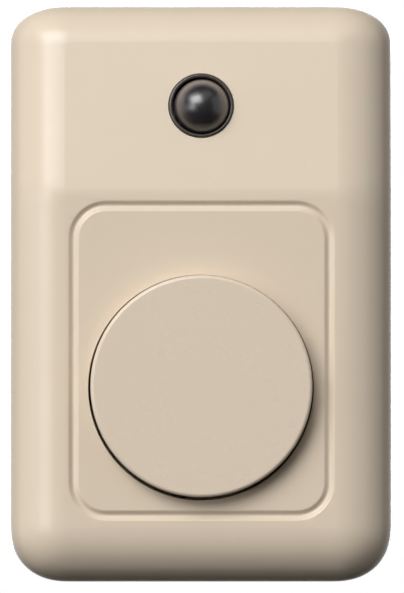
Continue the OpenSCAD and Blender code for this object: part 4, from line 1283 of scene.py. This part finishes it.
# %% Solder joints
def solder_tree():
    """Tree that puts a blunt cone of solder on every point, standing up from z = 0."""
    tree, source = new_tree("solder_joints", FootDiameter="Float", Height="Float", TipDiameter="Float")
    foot = add(tree, "ShaderNodeMath", {0: source["FootDiameter"], 1: 0.5}, operation="MULTIPLY").outputs[0]
    tip = add(tree, "ShaderNodeMath", {0: source["TipDiameter"], 1: 0.5}, operation="MULTIPLY").outputs[0]
    cone = add(tree, "GeometryNodeMeshCone", {
        "Vertices": 24, "Side Segments": 5, "Fill Segments": 2, "Radius Top": tip, "Radius Bottom": foot,
        "Depth": source["Height"]})
    many = add(tree, "GeometryNodeInstanceOnPoints", {
        "Points": source["Geometry"], "Instance": cone.outputs["Mesh"]})
    end_tree(tree, source, many.outputs["Instances"])
    return tree


joint_spots = [(side * x, -y, 0) for side in (-1, 1) for x, y in (
    (WIRE_X, LENS_Y), (WIRE_X, ROW_Y), (PART_X - HALF_SPAN, ROW_Y), (PART_X + HALF_SPAN, ROW_Y))]
solder = grown(solder_tree(), joint_spots, [], Matrix.Translation((0, 0, board_low.z)) @ OVER, Material=tin,
               FootDiameter=1.4, Height=0.45, TipDiameter=0.6)
piece("solder_joints", solder, tin, "housing", "plated_steel")

# %% [markdown]
# ## Camera
# The photograph looks straight at the front from far enough away that nothing tapers. A long lens two
# metres off gives that, and its frame is worked out from the real width of the cover across the picture.
# It stands half a degree to the left, which moves the deck a hair to the right of the outline.

# %% Camera
FRAME_W, FRAME_H = 404, 593
LEFT_PX, RIGHT_PX, TOP_PX, BOTTOM_PX = 10.0, 391.5, 5.5, 581.5
MM_PER_PX = 2 * HALF_W / (RIGHT_PX - LEFT_PX)
CAMERA_AWAY = 2000.0
CAMERA_TURN = math.radians(-0.5)
WIDEST_Z = 9.0
aim_x = (FRAME_W / 2 - (LEFT_PX + RIGHT_PX) / 2) * MM_PER_PX
aim_y = ((TOP_PX + BOTTOM_PX) / 2 - FRAME_H / 2) * MM_PER_PX
camera_data = bpy.data.cameras.new("camera")
camera_data.lens = camera_data.sensor_width * (CAMERA_AWAY - WIDEST_Z) / (FRAME_H * MM_PER_PX)
camera_data.clip_end = 50
camera = bpy.data.objects.new("camera", camera_data)
aim = Vector((aim_x, aim_y, WIDEST_Z))
away = Vector((math.sin(CAMERA_TURN), 0, math.cos(CAMERA_TURN))) * (CAMERA_AWAY - WIDEST_Z)
camera.location = FACE @ (aim + away)
camera.rotation_euler = (math.pi / 2, 0, CAMERA_TURN)
bpy.context.scene.collection.objects.link(camera)
bpy.context.scene.camera = camera
print("lens in mm:", round(camera_data.lens), "mm a pixel:", round(MM_PER_PX, 4))

# %% [markdown]
# ## Studio
# The highlight along the left roll and the shadow to the lower right of the button show where the light came
# from: a big soft source above and to the left, like a window, with its lower edge rising to the right. One
# panel gives most of it, and weaker ones carry it on to the left, upwards and to the right. They stand four
# metres off or more, so that the light is even from top to bottom. One more stands behind for the views from
# there.

# %% Studio lamps
def soft_panel(name, azimuth, elevation, roll, away, width, height, power):
    """A soft panel aimed at the cover: azimuth left is negative, and a roll lifts its right-hand end."""
    a, e = math.radians(azimuth), math.radians(elevation)
    spot = Vector((math.sin(a) * math.cos(e), -math.cos(a) * math.cos(e), math.sin(e))) * away * MM
    data = bpy.data.lights.new(name, "AREA")
    data.shape = "RECTANGLE"
    data.size = width * MM
    data.size_y = height * MM
    data.energy = power
    lamp = bpy.data.objects.new(name, data)
    lamp.location = spot
    facing = (-spot).to_track_quat("-Z", "Y").to_matrix()
    lamp.rotation_euler = (facing @ Matrix.Rotation(math.radians(roll), 3, "Z")).to_euler()
    bpy.context.scene.collection.objects.link(lamp)
    print(name, "power in W:", power)


FAR, FURTHER, BEHIND = 4000, 4800, 1500
# Azimuth, elevation and roll are in degrees, distance, width and height in millimetres, and power in watts.
soft_panel("window_panel", -28, 33, 20, FAR, 2900, 2150, 134)
soft_panel("left_panel", -45, 40, 38, FAR, 3200, 2400, 36)
soft_panel("low_panel", -41, 2, 0, FAR, 1850, 1400, 20.5)
soft_panel("low_left_panel", -54, 0, 0, FAR, 3900, 1550, 18.5)
soft_panel("upper_panel", 6, 46, 40, FAR, 5900, 2400, 28.5)
soft_panel("far_left_panel", -100, 5, 0, FAR, 2400, 3700, 14)
soft_panel("right_panel", 78, 10, 0, FURTHER, 5900, 5300, 54)
soft_panel("back_panel", 180, 10, 0, BEHIND, 800, 800, 10)

# %% [markdown]
# ## Floor
# The studio floor is pale paper with a faint mottle. It lies well below the part, which hangs on a wall in
# use, and is small, because a large floor close by would throw light up into the shadows.

# %% Floor
MOTTLE_MM = 60


def backdrop_paper():
    """Matt paper: nearly white, with soft clouds some centimetres wide."""
    material, tree, place = new_material("matt_white_paper")
    cloud = add(tree, "ShaderNodeTexNoise", {"Vector": place, "Scale": per_metre(MOTTLE_MM), "Detail": 3.0})
    colour = add(tree, "ShaderNodeMix", {
        "Factor": cloud.outputs["Fac"], "A": linear("#f4f3f0"), "B": linear("#eceae6")}, data_type="RGBA")
    finish_with(tree, {"Base Color": colour.outputs["Result"], "Roughness": 0.9})
    return material


FLOOR_Z = -1.6
FLOOR_HALF = 0.3
corners = [(x * FLOOR_HALF, y * FLOOR_HALF, FLOOR_Z) for x, y in ((-1, -1), (1, -1), (1, 1), (-1, 1))]
floor_mesh = bpy.data.meshes.new("studio_floor")
floor_mesh.from_pydata(corners, [], [(0, 1, 2, 3)])
floor_mesh.materials.append(backdrop_paper())
floor = bpy.data.objects.new("studio_floor", floor_mesh)
bpy.context.scene.collection.objects.link(floor)
print("floor in m:", 2 * FLOOR_HALF, "wide, at", FLOOR_Z)

# %% [markdown]
# ## Background
# The background is white where the camera sees it, and where gloss or glass shows what stands behind the
# part. There it fades out below, as a backdrop does that is lit from above. A white sheet would do, but it
# would also light the part. So the world itself is white to those rays alone, and nearly dark to all others.

# %% Background
BACKDROP_EDGE = 0.6
FADE_DEPTH = 0.5
ROOM_LIGHT = 0.01
world = bpy.data.worlds.new("studio")
bpy.context.scene.world = world
world.use_nodes = True
tree = world.node_tree
tree.nodes.clear()
heading = add(tree, "ShaderNodeTexCoord").outputs["Generated"]
towards = add(tree, "ShaderNodeSeparateXYZ", {"Vector": heading})
behind = add(tree, "ShaderNodeMapRange", {
    "Value": towards.outputs["Y"], "From Min": BACKDROP_EDGE, "From Max": 1.0})
raised = add(tree, "ShaderNodeMapRange", {
    "Value": towards.outputs["Z"], "From Min": -FADE_DEPTH, "From Max": 0.0})
backdrop = add(tree, "ShaderNodeMath", {
    0: behind.outputs["Result"], 1: raised.outputs["Result"]}, operation="MULTIPLY")
rays = add(tree, "ShaderNodeLightPath")
mirrored = add(tree, "ShaderNodeMath", {
    0: rays.outputs["Is Glossy Ray"], 1: rays.outputs["Is Transmission Ray"]}, operation="MAXIMUM")
shown = add(tree, "ShaderNodeMath", {0: mirrored.outputs[0], 1: backdrop.outputs[0]}, operation="MULTIPLY")
seen = add(tree, "ShaderNodeMath", {
    0: rays.outputs["Is Camera Ray"], 1: shown.outputs[0]}, operation="MAXIMUM")
room = add(tree, "ShaderNodeBackground", {"Color": linear("#ffffff"), "Strength": ROOM_LIGHT})
white = add(tree, "ShaderNodeBackground", {"Color": linear("#ffffff"), "Strength": 1.0})
mixed = add(tree, "ShaderNodeMixShader", {"Fac": seen.outputs[0], 1: room.outputs[0], 2: white.outputs[0]})
add(tree, "ShaderNodeOutputWorld", {"Surface": mixed.outputs[0]})
bpy.context.scene.view_settings.view_transform = "Standard"
print("light from the room:", ROOM_LIGHT)
